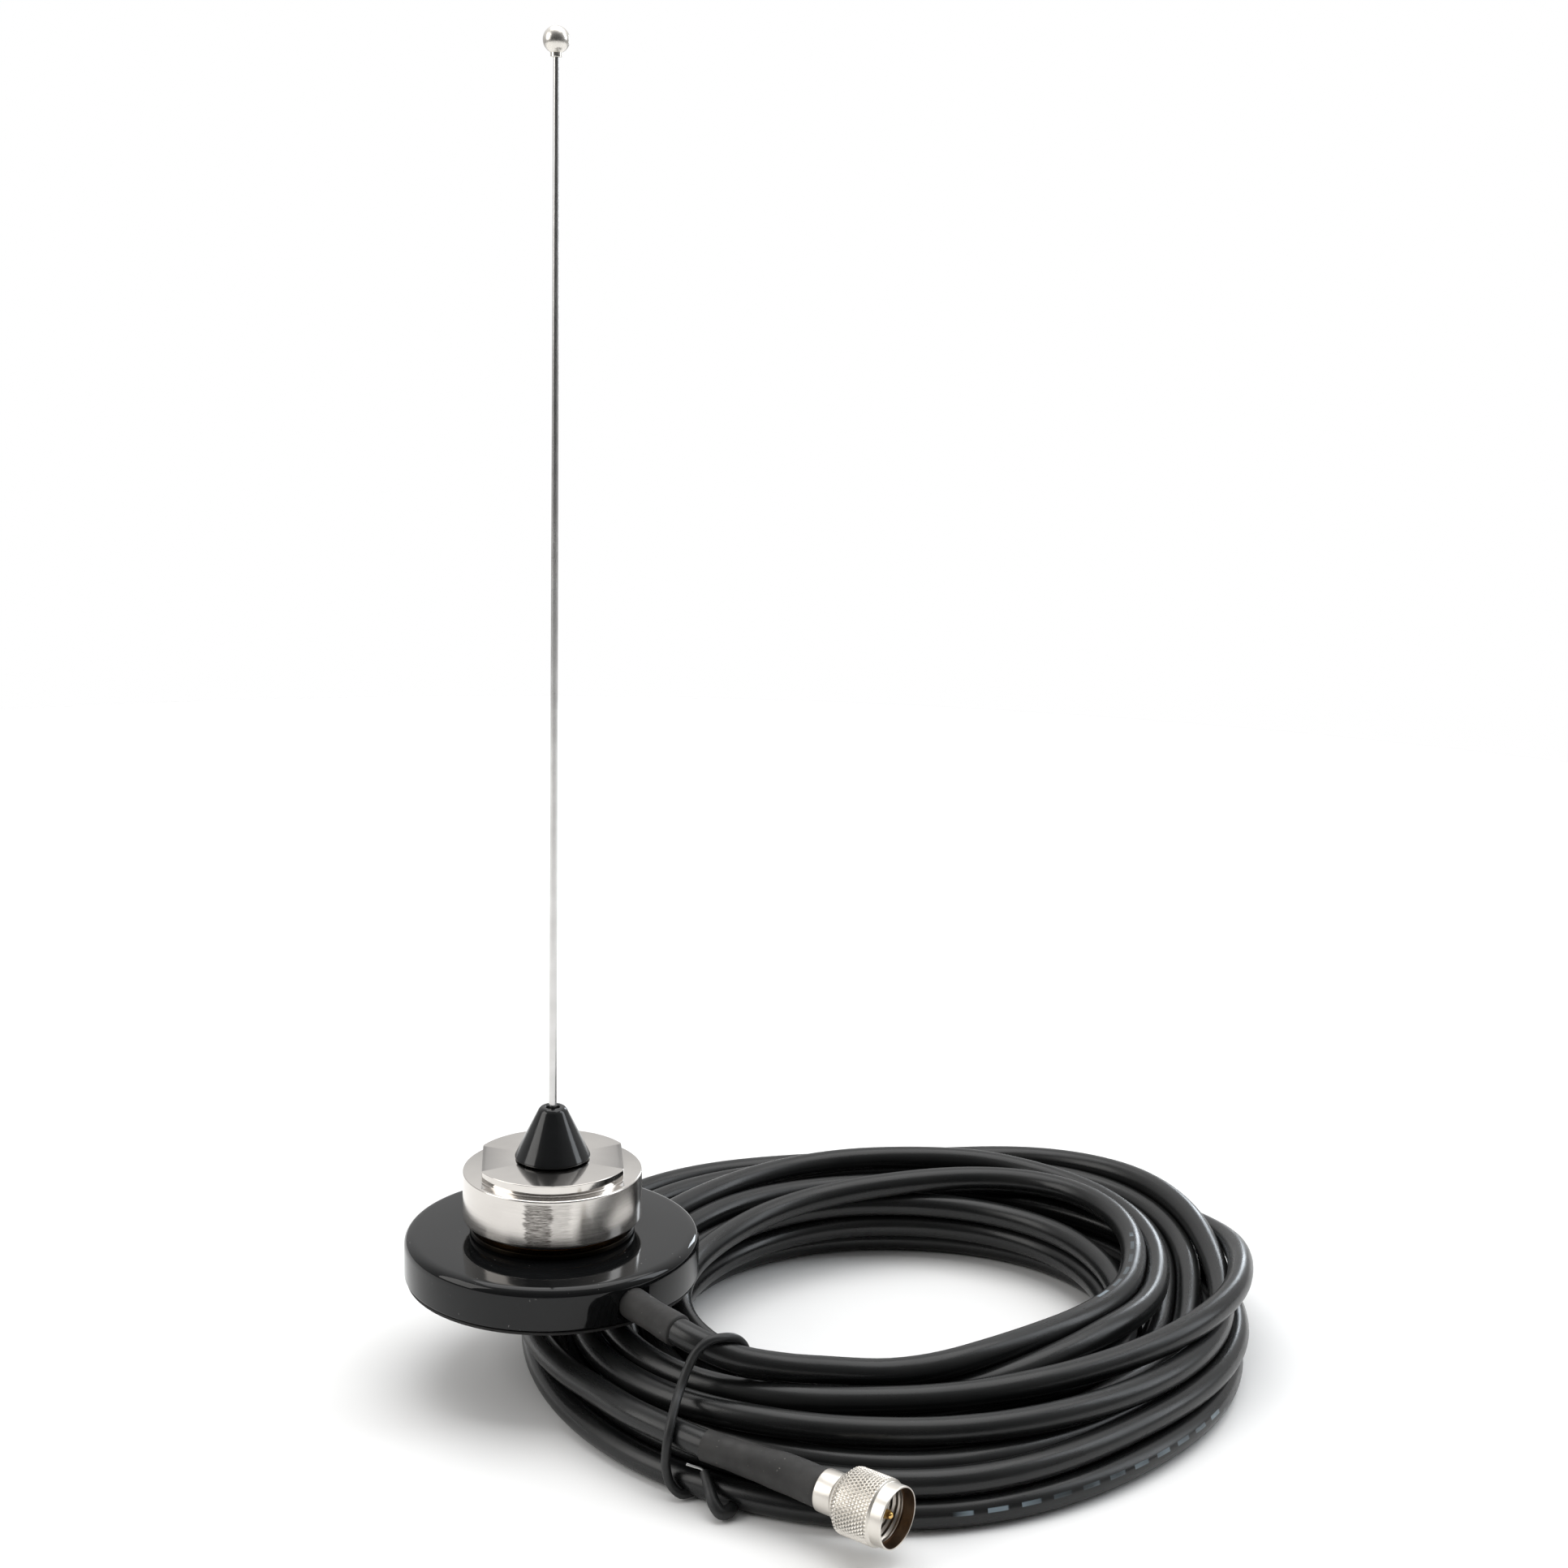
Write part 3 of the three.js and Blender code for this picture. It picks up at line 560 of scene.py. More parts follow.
def lathe(name, outline, sides=128, turn=None, relief=None, sharp=35):
    """A turned piece about +Z from a closed outline in mm. Relief gives a radius's change
    at an angle and height. Turn is the matrix that lays the piece in its place."""
    turn = turn or Matrix.Identity(4)
    vertices = []
    rows = []
    for index, (radius, height) in enumerate(outline):
        count = 1 if radius < 1e-6 else sides
        rows.append(range(len(vertices), len(vertices) + count))
        for k in range(count):
            angle = tau * k / sides
            swell = relief(index, angle, height) if relief and count > 1 else 0
            place = Vector(((radius + swell) * cos(angle),
                            (radius + swell) * sin(angle), height))
            vertices.append((turn @ place) * MM)
    faces = []
    uvs = []
    along = 0.0
    closed = len(rows[0]) > 1 or len(rows[-1]) > 1
    pairs = len(rows) if closed else len(rows) - 1
    for i in range(pairs):
        low, high = rows[i], rows[(i + 1) % len(rows)]
        step = (Vector(outline[(i + 1) % len(rows)]) - Vector(outline[i])).length * MM
        for k in range(sides):
            following = (k + 1) % sides
            corners = [low[k % len(low)], low[following % len(low)],
                       high[following % len(high)], high[k % len(high)]]
            places = [(k / sides, along), ((k + 1) / sides, along),
                      ((k + 1) / sides, along + step), (k / sides, along + step)]
            kept = [j for j in range(4) if corners[j] not in corners[:j]]
            if len(kept) < 3:
                continue
            faces.append([corners[j] for j in kept])
            uvs.append([places[j] for j in kept])
        along += step
    return link_mesh(name, vertices, faces, uvs, sharp)


def tube_frames(line, upright):
    """Two cross directions at each point of a line. An upright frame keeps the second one up."""
    tangents = np.gradient(line, axis=0)
    tangents /= np.linalg.norm(tangents, axis=1)[:, None]
    if upright:
        sides = np.cross(tangents, np.array(Z_AXIS))
        sides /= np.linalg.norm(sides, axis=1)[:, None]
        return sides, np.cross(sides, tangents)
    first = np.cross(tangents[0], (0.3, 0.2, 0.93))
    sides = [first / np.linalg.norm(first)]
    for tangent in tangents[1:]:
        carried = sides[-1] - tangent * np.dot(sides[-1], tangent)
        sides.append(carried / np.linalg.norm(carried))
    sides = np.array(sides)
    return sides, np.cross(sides, tangents)


def tube(name, line, radii, sides=24, upright=True, sharp=50):
    """A round tube along a line of points in mm, closed at both ends.
    UVs are in metres, round it and along it, and the seam is underneath."""
    line = np.asarray(line, float)
    radii = np.broadcast_to(radii, len(line))
    across, up = tube_frames(line, upright)
    angles = tau * np.arange(sides) / sides - pi / 2
    round_it = (np.cos(angles)[None, :, None] * across[:, None]
                + np.sin(angles)[None, :, None] * up[:, None])
    rings = line[:, None] + radii[:, None, None] * round_it
    vertices = rings.reshape(-1, 3) * MM
    along = lengths(line) * MM
    girth = tau * float(radii.mean()) * MM
    faces = []
    uvs = []
    for i in range(len(line) - 1):
        for k in range(sides):
            following = (k + 1) % sides
            faces.append([i * sides + k, i * sides + following,
                          (i + 1) * sides + following, (i + 1) * sides + k])
            left, right = girth * k / sides, girth * (k + 1) / sides
            uvs.append([(left, along[i]), (right, along[i]),
                        (right, along[i + 1]), (left, along[i + 1])])
    for start in (0, (len(line) - 1) * sides):
        faces.append([start + k for k in range(sides)])
        uvs.append([(girth * k / sides, along[0 if start == 0 else -1]) for k in range(sides)])
    return link_mesh(name, vertices, faces, uvs, sharp)


def cut_away(made, cutters):
    """Cuts other objects out of one, and removes them."""
    for cutter in cutters:
        step = made.modifiers.new("cut", "BOOLEAN")
        step.operation = "DIFFERENCE"
        step.solver = "EXACT"
        step.object = cutter
    view = bpy.context.evaluated_depsgraph_get()
    view.update()
    mesh = bpy.data.meshes.new_from_object(made.evaluated_get(view))
    made.modifiers.clear()
    made.data = mesh
    for cutter in cutters:
        bpy.data.objects.remove(cutter)


def lengths(line):
    """The distance along a line to each of its points."""
    return np.r_[0, np.cumsum(np.linalg.norm(np.diff(line, axis=0), axis=1))]


def smooth_through(where, places, values):
    """A smooth cubic through uneven knots, read at other places."""
    steps = np.diff(places)
    rises = np.diff(values) / steps
    slopes = np.empty_like(values)
    slopes[0], slopes[-1] = rises[0], rises[-1]
    slopes[1:-1] = (rises[:-1] * steps[1:] + rises[1:] * steps[:-1]) / (steps[:-1] + steps[1:])
    i = np.clip(np.searchsorted(places, where) - 1, 0, len(steps) - 1)
    t = (where - places[i]) / steps[i]
    return ((1 + 2 * t) * (1 - t) ** 2 * values[i] + t * (1 - t) ** 2 * steps[i] * slopes[i]
            + t * t * (3 - 2 * t) * values[i + 1] + t * t * (t - 1) * steps[i] * slopes[i + 1])


def curve_through(points, count):
    points = np.array(points, float)
    along = lengths(points)
    where = np.linspace(0, along[-1], count)
    return np.stack([smooth_through(where, along, points[:, k]) for k in range(3)], 1)


def evenly(line, step):
    """The same line with its points a step apart."""
    along = lengths(line)
    where = np.linspace(0, along[-1], int(round(along[-1] / step)) + 1)
    return np.stack([np.interp(where, along, line[:, k]) for k in range(3)], 1)


# --- the coax lead

CABLE_D = 4.95
BASE_R = BASE_HIGH.x
PAD_BOTTOM = box("bottom_pad")[0].z

COIL_CENTRE = (63.2, 9.2)
# Each turn's radius and height at these directions from the coil's centre, in degrees.
STATIONS = (-135, -90, -45, 0, 45, 90, 135)
TURNS = [
    ((None, 41, 38.6, 48, 57.5, 43.6, 38), (None, 14.6, 15.4, 16.2, 17, 15.5, 13.7)),
    ((41.5, 38.8, 42.6, 52.4, 63, 58, 51.5), (11, 9.8, 12.8, 13.4, 15, 16, 15.5)),
    ((55.3, 47, 50.8, 67.2, 77.2, 72.3, 70), (13, 12.9, 14.4, 16.3, 10.4, 7.3, 6.8)),
    ((65.8, 66.2, 62.9, 67.4, 72.3, 68.5, 64), (2.5,) * 7),
    ((60, 60.5, 57, 62, 66.5, 62.5, 58.5), (2.5,) * 7),
    ((53, 53, 50, 56, 60, 56, 51.5), (2.5,) * 7),
    ((46.5, 46.5, 43.5, 49, 52.5, 47.7, 44.3), (2.5,) * 7),
    ((40.8, 41, 40, 44.6, 49.3, 46.3, 42.2), (2.5, 2.5, 6.2, 6.5, 6.8, 6.5, 6.4)),
    ((43.2, 43.5, 47.5, 46.5, 48.8, 45, 41.6), (6.8, 6.9, 10.4, 10.8, 11, 11, 10.3)),
    ((48, 48.5, 45.4, 55, 69, 52.3, 46.8), (6.8, 6.9, 6.9, 8.7, 13, 13.5, 13.8)),
    ((52.8, 53.6, 50.4, 59.3, 74.3, 64.6, 63.5), (6.8, 6.9, 6.9, 6.6, 11.8, 11.2, 11.5)),
    ((62, 64.9, 60.2, 67, 73, 67, 62), (6.8, 7.4, 6.8, 6.2, 7, 6.8, 6.8)),
    ((57.5, 58.8, 55.4, 62.6, 67.5, 61.5, 56.5), (6.8, 6.9, 6.8, 6.6, 7.3, 7.2, 7.2)),
    ((59.5, 56, 57.3, 66, 77.6, 68.8, 70.3), (11, 11.2, 10.7, 10.6, 14.2, 11, 10.8)),
]
# From the base's sleeve onto the coil, and off the coil's side into the connector.
LEAD_IN = [(15.9, -20.6, 22.6), (20.7, -26.8, 22.6), (25.4, -32.2, 22.3), (30, -35.2, 21.2),
           (35.4, -36.1, 19.3), (43, -35.1, 17.3), (52, -33.5, 15.8)]
LAST_ARC = [(180, 68.5, 9.5), (198, 66.9, 8.9), (208, 65.7, 9.1), (217, 64.9, 9.5),
            (226, 65.4, 9.9), (233, 65.6, 10)]  # direction, radius, height
TAIL = [(31.1, -49.2, 10), (38.3, -53.2, 9.5), (45.4, -56.3, 8.8),
        (50.97, -60.28, 8.5), (52.6, -61.45, 8.5)]
CABLE_STEP = 2.5

# Stretches with faded dashes: the turn, its first and last direction, and the side of the
# cable that they are on, in degrees from its outer side up over its top.
DASHED = [(3, -98, -22, 22), (0, -24, 24, 100), (10, 112, 150, 85)]


def planned_line():
    """The cable's line before its turns are settled against each other."""
    knots = []
    for index, (radii, heights) in enumerate(TURNS):
        for direction, radius, height in zip(STATIONS, radii, heights):
            if radius is not None:
                knots.append((360 * index + direction, radius, height))
    last = 360 * (len(TURNS) - 1)
    knots += [(last + direction, radius, height) for direction, radius, height in LAST_ARC]
    turned, radii, heights = np.array(knots, float).T
    where = np.arange(turned[0], turned[-1] + 0.1, 2.0)
    radius = smooth_through(where, turned, radii)
    angle = np.radians(where)
    coil = np.stack([COIL_CENTRE[0] + radius * np.cos(angle),
                     COIL_CENTRE[1] + radius * np.sin(angle),
                     smooth_through(where, turned, heights)], 1)
    before = curve_through([*LEAD_IN, coil[0], coil[6]], 60)
    after = curve_through([coil[-7], coil[-1], *TAIL], 80)
    joined = np.argmin(np.linalg.norm(before - coil[0], axis=1))
    left = np.argmin(np.linalg.norm(after - coil[-1], axis=1))
    return evenly(np.concatenate([before[:joined], coil, after[left + 1:]]), CABLE_STEP)


def near_pairs(line, reach):
    """Pairs of points of different turns that are within reach of each other."""
    first, second = [], []
    for start in range(0, len(line), 256):
        block = line[start:start + 256]
        apart = np.linalg.norm(block[:, None] - line[None], axis=2)
        i, j = np.nonzero(apart < reach)
        i += start
        kept = (j - i) > 5
        first.append(i[kept])
        second.append(j[kept])
    return np.concatenate(first), np.concatenate(second)


def settle(line, rounds=260):
    """Pushes turns that lie in each other apart, keeps them on the floor and under the base,
    and keeps the cable's two ends where they are."""
    moved = np.zeros_like(line)
    along = np.arange(len(line)) * CABLE_STEP
    free = np.clip(np.minimum((along - 30) / 40, (along[-1] - along - 55) / 40), 0, 1)[:, None]
    apart = CABLE_D * 1.02
    ceiling = PAD_BOTTOM - CABLE_D / 2 - 0.1
    for index in range(rounds):
        now = line + moved
        if index % 12 == 0:
            first, second = near_pairs(now, CABLE_D * 1.7)
        between = now[first] - now[second]
        distance = np.linalg.norm(between, axis=1) + 1e-9
        over = apart - distance
        hit = over > 0
        push = between[hit] / distance[hit, None] * over[hit, None] * 0.5
        total = np.zeros_like(now)
        count = np.zeros(len(now))
        np.add.at(total, first[hit], push)
        np.add.at(total, second[hit], -push)
        np.add.at(count, first[hit], 1)
        np.add.at(count, second[hit], 1)
        moved += free * total / np.maximum(1, count * 0.5)[:, None]
        for _ in range(3):
            softer = moved.copy()
            softer[1:-1] = 0.5 * moved[1:-1] + 0.25 * (moved[:-2] + moved[2:])
            moved = softer
        moved *= 1 - 0.004
        now = line + moved
        moved[:, 2] += np.maximum(CABLE_D / 2 - now[:, 2], 0)
        under = (np.hypot(now[:, 0], now[:, 1]) < BASE_R + CABLE_D / 2) & (free[:, 0] > 0)
        moved[:, 2] -= np.where(under, np.maximum(now[:, 2] - ceiling, 0), 0)
    return line + moved


def mark_cable(cable, line, sides):
    """Stores where the dashes are: the distance round the cable from their line in mm,
    and a switch for the stretches that have them."""
    turned = np.degrees(np.unwrap(np.arctan2(line[:, 1] - COIL_CENTRE[1],
                                             line[:, 0] - COIL_CENTRE[0])))
    angles = 360 * np.arange(sides) / sides - 90
    marks = np.zeros((len(line), sides, 3))
    marks[:, :, 0] = 5.0
    for index, first, last, side in DASHED:
        inside = (turned > 360 * index + first) & (turned < 360 * index + last)
        off = (angles - side + 180) % 360 - 180
        marks[inside, :, 0] = np.radians(off) * CABLE_D / 2
        marks[inside, :, 1] = 1.0
    layer = cable.data.attributes.new("marks", "FLOAT_VECTOR", "POINT")
    layer.data.foreach_set("vector", marks.reshape(-1))


def make_cable():
    sides = 24
    line = settle(planned_line())
    cable = tube("coax_lead", line, CABLE_D / 2, sides)
    mark_cable(cable, line, sides)
    dress(cable, "root", "cable_jacket", "cable_coil", "cable_lead", "cable_tail")
    return cable, line


# --- the base

EXIT_TURN = radians(-52.3)
EXIT_WAY = Vector((cos(EXIT_TURN), sin(EXIT_TURN), 0))
SLEEVE_LOW, SLEEVE_HIGH = box("strain_relief")
EXIT_Z = (SLEEVE_LOW.z + SLEEVE_HIGH.z) / 2
SLEEVE_R = (SLEEVE_HIGH.z - SLEEVE_LOW.z) / 2
SLEEVE_LENGTH = 14.8  # along the lead, from just inside the base's wall
COVER_WALL = 1.8
THREAD_R = 14.2
THREAD_PITCH = 1.411
THREAD_DEPTH = 0.62


def laid_along(origin, way):
    """The matrix that lays a piece made about +Z along a direction."""
    return Matrix.Translation(origin) @ Z_AXIS.rotation_difference(way).to_matrix().to_4x4()


def make_cover():
    inner = BASE_R - COVER_WALL
    hole = THREAD_R + 0.3
    bottom = BASE_LOW.z
    outline = rounded([
        (inner, bottom, 0.2),
        (BASE_R, bottom, 0.35),
        (BASE_R, BASE_TOP, 2.1),
        (hole, BASE_TOP, 0.25),
        (hole, BASE_TOP - COVER_WALL),
        (inner, BASE_TOP - COVER_WALL, 0.8),
    ], steps=7)
    cover = lathe("cover_shell", outline, sides=192)
    exit_r = SLEEVE_R + 0.2
    reach = 8  # of the cutter, from 3 mm inside the wall
    start = EXIT_WAY * (inner - 3) + Z_AXIS * EXIT_Z
    bar = [(0, 0), (exit_r, 0), (exit_r, reach), (0, reach)]
    cutter = lathe("exit_cutter", bar, sides=64, turn=laid_along(start, EXIT_WAY))
    cut_away(cover, [cutter])
    dress(cover, "root", "black_enamel", "base_cover")


def make_pad():
    low, high = box("bottom_pad")
    outline = rounded([
        (0, low.z),
        (high.x, low.z, 0.2),
        (high.x, high.z, 0.2),
        (high.x - 3, high.z),
        (0, high.z),
    ])
    pad = lathe("foot_pad", outline, sides=160)
    dress(pad, "root", "black_rubber", "bottom_pad")


def sawtooth(value):
    """A ridge from 0 to 1 and back over each whole step of the value."""
    return 1 - abs(2 * (value % 1.0) - 1)


def make_collar():
    """The brass collar, with its real screw thread cut in from the major diameter."""
    low, high = box("mount_collar")
    top = high.z
    bore = 12.6
    flange_r = high.x
    flange_low = BASE_TOP + 0.3
    relief_r = THREAD_R - 0.5
    thread_rows = 90
    thread_start = COLLAR_FLANGE_TOP + 0.35
    outline = rounded([
        (bore, low.z), (THREAD_R, low.z), (THREAD_R, flange_low),
        (flange_r, flange_low, 0.15), (flange_r, COLLAR_FLANGE_TOP, 0.25),
        (relief_r, COLLAR_FLANGE_TOP), (relief_r, thread_start - 0.1),
    ])
    threaded = len(outline)
    outline += wall((THREAD_R, thread_start), (THREAD_R, top), thread_rows)
    outline += [(THREAD_R - 1.0, top + 0.02), (bore, top + 0.02)]

    def relief(index, angle, height):
        if not threaded <= index <= threaded + thread_rows:
            return 0
        crest = min(1.0, 1.35 * sawtooth(height / THREAD_PITCH - angle / tau))
        run_in = min(1.0, (height - thread_start) / 0.9)
        chamfer = max(0.0, height - (top - 0.6))
        return -THREAD_DEPTH * (1 - crest * run_in) - chamfer

    collar = lathe("threaded_collar", outline, sides=144, relief=relief, sharp=50)
    dress(collar, "root", "brass", "mount_collar", material="painted_shade_brass")


def make_sleeve(lead):
    """The shrink sleeve at the base: a short thick tube on the lead, which ends in a thin lip."""
    along = lengths(lead)
    count = 40
    where = np.linspace(0, SLEEVE_LENGTH, count + 1)
    line = [tuple(np.interp(place, along, lead[:, k]) for k in range(3)) for place in where]
    radii = []
    for i in range(count + 1):
        t = i / count
        radii.append(SLEEVE_R - 0.12 * sin(pi * t) ** 2 + 0.03 * sin(9 * t))
    ahead = (Vector(line[-1]) - Vector(line[-2])).normalized()
    for drop, step in ((0.08, 0.1), (0.26, 0.14), (0.42, 0.1)):
        line.append(tuple(Vector(line[-1]) + ahead * step))
        radii.append(SLEEVE_R - drop)
    sleeve = tube("base_sleeve", line, radii, sides=40)
    return dress(sleeve, "root", "shrink_sleeve", "strain_relief")


# --- the screw-on antenna

NUT_LOW, NUT_HIGH = box("base_nut")
NUT_R = (NUT_HIGH.y - NUT_LOW.y) / 2
FLANGE_FLAT = 13.0
FLANGE_R = 14.7
FLANGE_TURN = radians(6.5)  # of the wrench flats, from +Y
NUT_STEP = 0.3  # the thin step under the flange, out and up
NUT_HOLE_R = 5.0
NUT_THREAD_DEPTH = 0.25
NUT_BORE_R = 14.65
NUT_ROOF = NUT_HIGH.z - 3.4


def plain_box(name, low, high, turn):
    """A box for cutting, turned about the antenna's axis."""
    turned = Matrix.Rotation(turn, 3, "Z")
    corners = [turned @ Vector((x, y, z)) for x in (low[0], high[0]) for y in (low[1], high[1])
               for z in (low[2], high[2])]
    faces = [(0, 1, 3, 2), (4, 6, 7, 5), (0, 4, 5, 1), (2, 3, 7, 6), (0, 2, 6, 4), (1, 5, 7, 3)]
    uvs = [[(0, 0), (1, 0), (1, 1), (0, 1)]] * 6
    return link_mesh(name, [corner * MM for corner in corners], faces, uvs)


def make_nut():
    """The nickel nut: its wall, a thin step, and a flange with two wrench flats. Its bore
    has the thread that runs on the collar."""
    bottom = NUT_LOW.z
    top = NUT_HIGH.z
    mouth_r = NUT_BORE_R + 1.2
    rows = 60
    outline = rounded([
        (mouth_r, bottom, 0.1),
        (NUT_R, bottom, 0.45),
        (NUT_R, NUT_SHOULDER, 0.4),
        (FLANGE_R + NUT_STEP, NUT_SHOULDER),
        (FLANGE_R + NUT_STEP, NUT_SHOULDER + NUT_STEP, 0.08),
        (FLANGE_R, NUT_SHOULDER + NUT_STEP),
        (FLANGE_R, top, 0.16),
        (NUT_HOLE_R, top, 0.15),
        (NUT_HOLE_R, NUT_ROOF),
        (NUT_BORE_R, NUT_ROOF),
    ], steps=6)
    thread_top = NUT_ROOF - 0.4
    thread_bottom = bottom + 1.7
    threaded = len(outline)
    outline += wall((NUT_BORE_R, thread_top), (NUT_BORE_R, thread_bottom), rows)
    outline += [(mouth_r, thread_bottom - 0.02)]

    def relief(index, angle, height):
        if not threaded <= index <= threaded + rows:
            return 0
        phase = height / THREAD_PITCH - angle / tau
        return -NUT_THREAD_DEPTH * sawtooth(phase + 0.5)

    nut = lathe("antenna_nut", outline, sides=192, relief=relief)
    half = 3  # of a cutter's width
    cutters = []
    for side in (-1, 1):
        middle = side * (FLANGE_FLAT + half)
        low = (middle - half, -NUT_R - 1, NUT_SHOULDER - 0.02)
        high = (middle + half, NUT_R + 1, top + 2)
        cutters.append(plain_box(f"flat_cutter_{side + 1}", low, high, FLANGE_TURN))
    cut_away(nut, cutters)
    dress(nut, "antenna", "bright_nickel", "base_nut", material="nut_nickel")


def make_seal():
    low, high = box("seal_ring")
    middle_z = (low.z + high.z) / 2
    inner = NUT_BORE_R + 0.1
    outer = high.x
    half = (outer - inner) / 2
    half_height = (high.z - low.z) / 2
    angles = [tau * i / 24 for i in range(24)]
    outline = [(inner + half + half * cos(angle), middle_z + half_height * sin(angle))
               for angle in angles]
    seal = lathe("mouth_seal", outline, sides=128)
    dress(seal, "lift", "black_rubber", "seal_ring")


def make_cone():
    low, high = box("whip_cone")
    base_r = high.x
    bore = 3.2
    tip_r = 2.15
    rod_hole_r = 1.1
    outline = rounded([
        (bore, low.z, 0.15),
        (base_r, low.z, 0.08),
        (base_r, low.z + 0.3, 0.12),
        (tip_r + 0.47, high.z - 0.45, 0.3),
        (tip_r, high.z, 0.3),
        (rod_hole_r + 0.25, high.z, 0.25),
        (rod_hole_r, high.z - 0.9),
        (rod_hole_r, low.z + 6.9),
        (bore - 0.8, low.z + 6.7),
        (bore, low.z + 5.6),
    ], steps=6)
    cone = lathe("whip_foot_cone", outline, sides=128)
    dress(cone, "antenna", "black_gloss_plastic", "whip_cone")


def make_whip():
    low, high = box("whip_rod")
    top_r = 0.52
    taper = wall((high.x, low.z), (top_r, high.z), 40)
    rod = lathe("whip", [(0, low.z), *taper, (0, high.z)], sides=32)
    dress(rod, "antenna", "whip_steel", "whip_rod")


def make_ball():
    low, high = box("tip_ball")
    ball_r = (high.x - low.x) / 2
    middle = high.z - ball_r
    hole = 0.72
    neck = 1.0
    bottom = low.z
    outline = [(0, middle + 0.8), (hole, middle + 0.7), (hole, bottom + 0.08),
               (hole + 0.08, bottom), (neck - 0.08, bottom), (neck, bottom + 0.08)]
    start = asin(neck / ball_r) + 0.1
    outline.append((neck, middle - ball_r * cos(start) - 0.12))
    steps = 28
    for i in range(steps + 1):
        angle = start + (pi - start) * i / steps
        outline.append((max(0.0, ball_r * sin(angle)), middle - ball_r * cos(angle)))
    outline[-1] = (0, high.z)
    ball = lathe("whip_tip", outline, sides=64)
    dress(ball, "antenna", "bright_nickel", "tip_ball")


# --- the connector

# Places along the plug are from its face, along PLUG_WAY.
PLUG_MATRIX = laid_along(PLUG_FACE, PLUG_WAY)
NUT_BACK = -10.8
RIM_BACK = -2.4
RING_GROOVE = -8.0
FERRULE_FRONT = NUT_BACK - 0.3
FERRULE_BACK = FERRULE_FRONT - 3.4
COUPLING_R = 5.65
RIM_R = 5.2
PLUG_BORE_R = 4.7
PLUG_BODY_R = 2.9
PLUG_PITCH = 1.058
KNURLS = 48
KNURL_LENGTH = 1.15
KNURL_DEPTH = 0.3
PLUG_THREAD_DEPTH = 0.36
THREAD_CREST_R = 4.55
SNAP_WIRE_R = 0.22


def make_coupling():
    """The coupling nut: diamond knurl, smooth rim, and a thread inside."""
    knurl_rows = 52
    knurl_start = NUT_BACK + 0.6
    knurl_end = RIM_BACK - 0.25
    cone_end = NUT_BACK + 1.9
    back_r = COUPLING_R - 1.5
    outline = rounded([
        (PLUG_BODY_R + 0.3, NUT_BACK), (back_r, NUT_BACK, 0.2), (back_r + 0.15, knurl_start - 0.1),
    ])
    knurl_first = len(outline)
    for i in range(knurl_rows + 1):
        place = knurl_start + (knurl_end - knurl_start) * i / knurl_rows
        short = 1 - min(1.0, (place - knurl_start) / (cone_end - knurl_start))
        outline.append((COUPLING_R - (COUPLING_R - back_r - 0.2) * short**1.6, place))
    knurl_last = len(outline) - 1
    ledge = -COUNTERBORE_DEPTH
    outline += rounded([
        (COUPLING_R - 0.1, knurl_end + 0.1, 0.06), (RIM_R, RIM_BACK, 0.12), (RIM_R, 0, 0.2),
        (COUNTERBORE_R, 0, 0.15), (COUNTERBORE_R, ledge), (THREAD_CREST_R, ledge, 0.08),
    ])
    thread_first = len(outline)
    thread_rows = 60
    thread_start = ledge - 0.2
    thread_end = NUT_BACK + 2.6
    outline += wall((THREAD_CREST_R, thread_start), (THREAD_CREST_R, thread_end), thread_rows)
    thread_last = len(outline) - 1
    outline += [(PLUG_BORE_R, thread_end - 0.1), (PLUG_BODY_R + 0.3, NUT_BACK + 2.4)]

    def relief(index, angle, height):
        if knurl_first <= index <= knurl_last:
            first = KNURLS * angle / tau + height / KNURL_LENGTH
            second = KNURLS * angle / tau - height / KNURL_LENGTH
            peak = min(1.0, 1.5 * min(sawtooth(first), sawtooth(second)))
            edge = min(1.0, (knurl_end - height) / 0.4 + 0.2)
            return -KNURL_DEPTH * (1 - peak) * edge
        if thread_first <= index <= thread_last:
            ease = min(1.0, (thread_start - height) / 0.5)
            phase = height / PLUG_PITCH - angle / tau
            return PLUG_THREAD_DEPTH * min(1.0, 1.3 * sawtooth(phase)) * ease
        return 0

    nut = lathe("plug_nut", outline, sides=KNURLS * 8, turn=PLUG_MATRIX, relief=relief, sharp=32)
    return dress(nut, "coupling", "bright_nickel", "coupling_nut", material="coupling_nickel")


def plug_piece(name, corners, slot, replaced, sides=96, steps=5, relief=None, material=None):
    """A turned piece of the plug, from its outline's corners."""
    made = lathe(name, rounded(corners, steps), sides=sides, turn=PLUG_MATRIX, relief=relief)
    return dress(made, "root", slot, replaced, material=material)


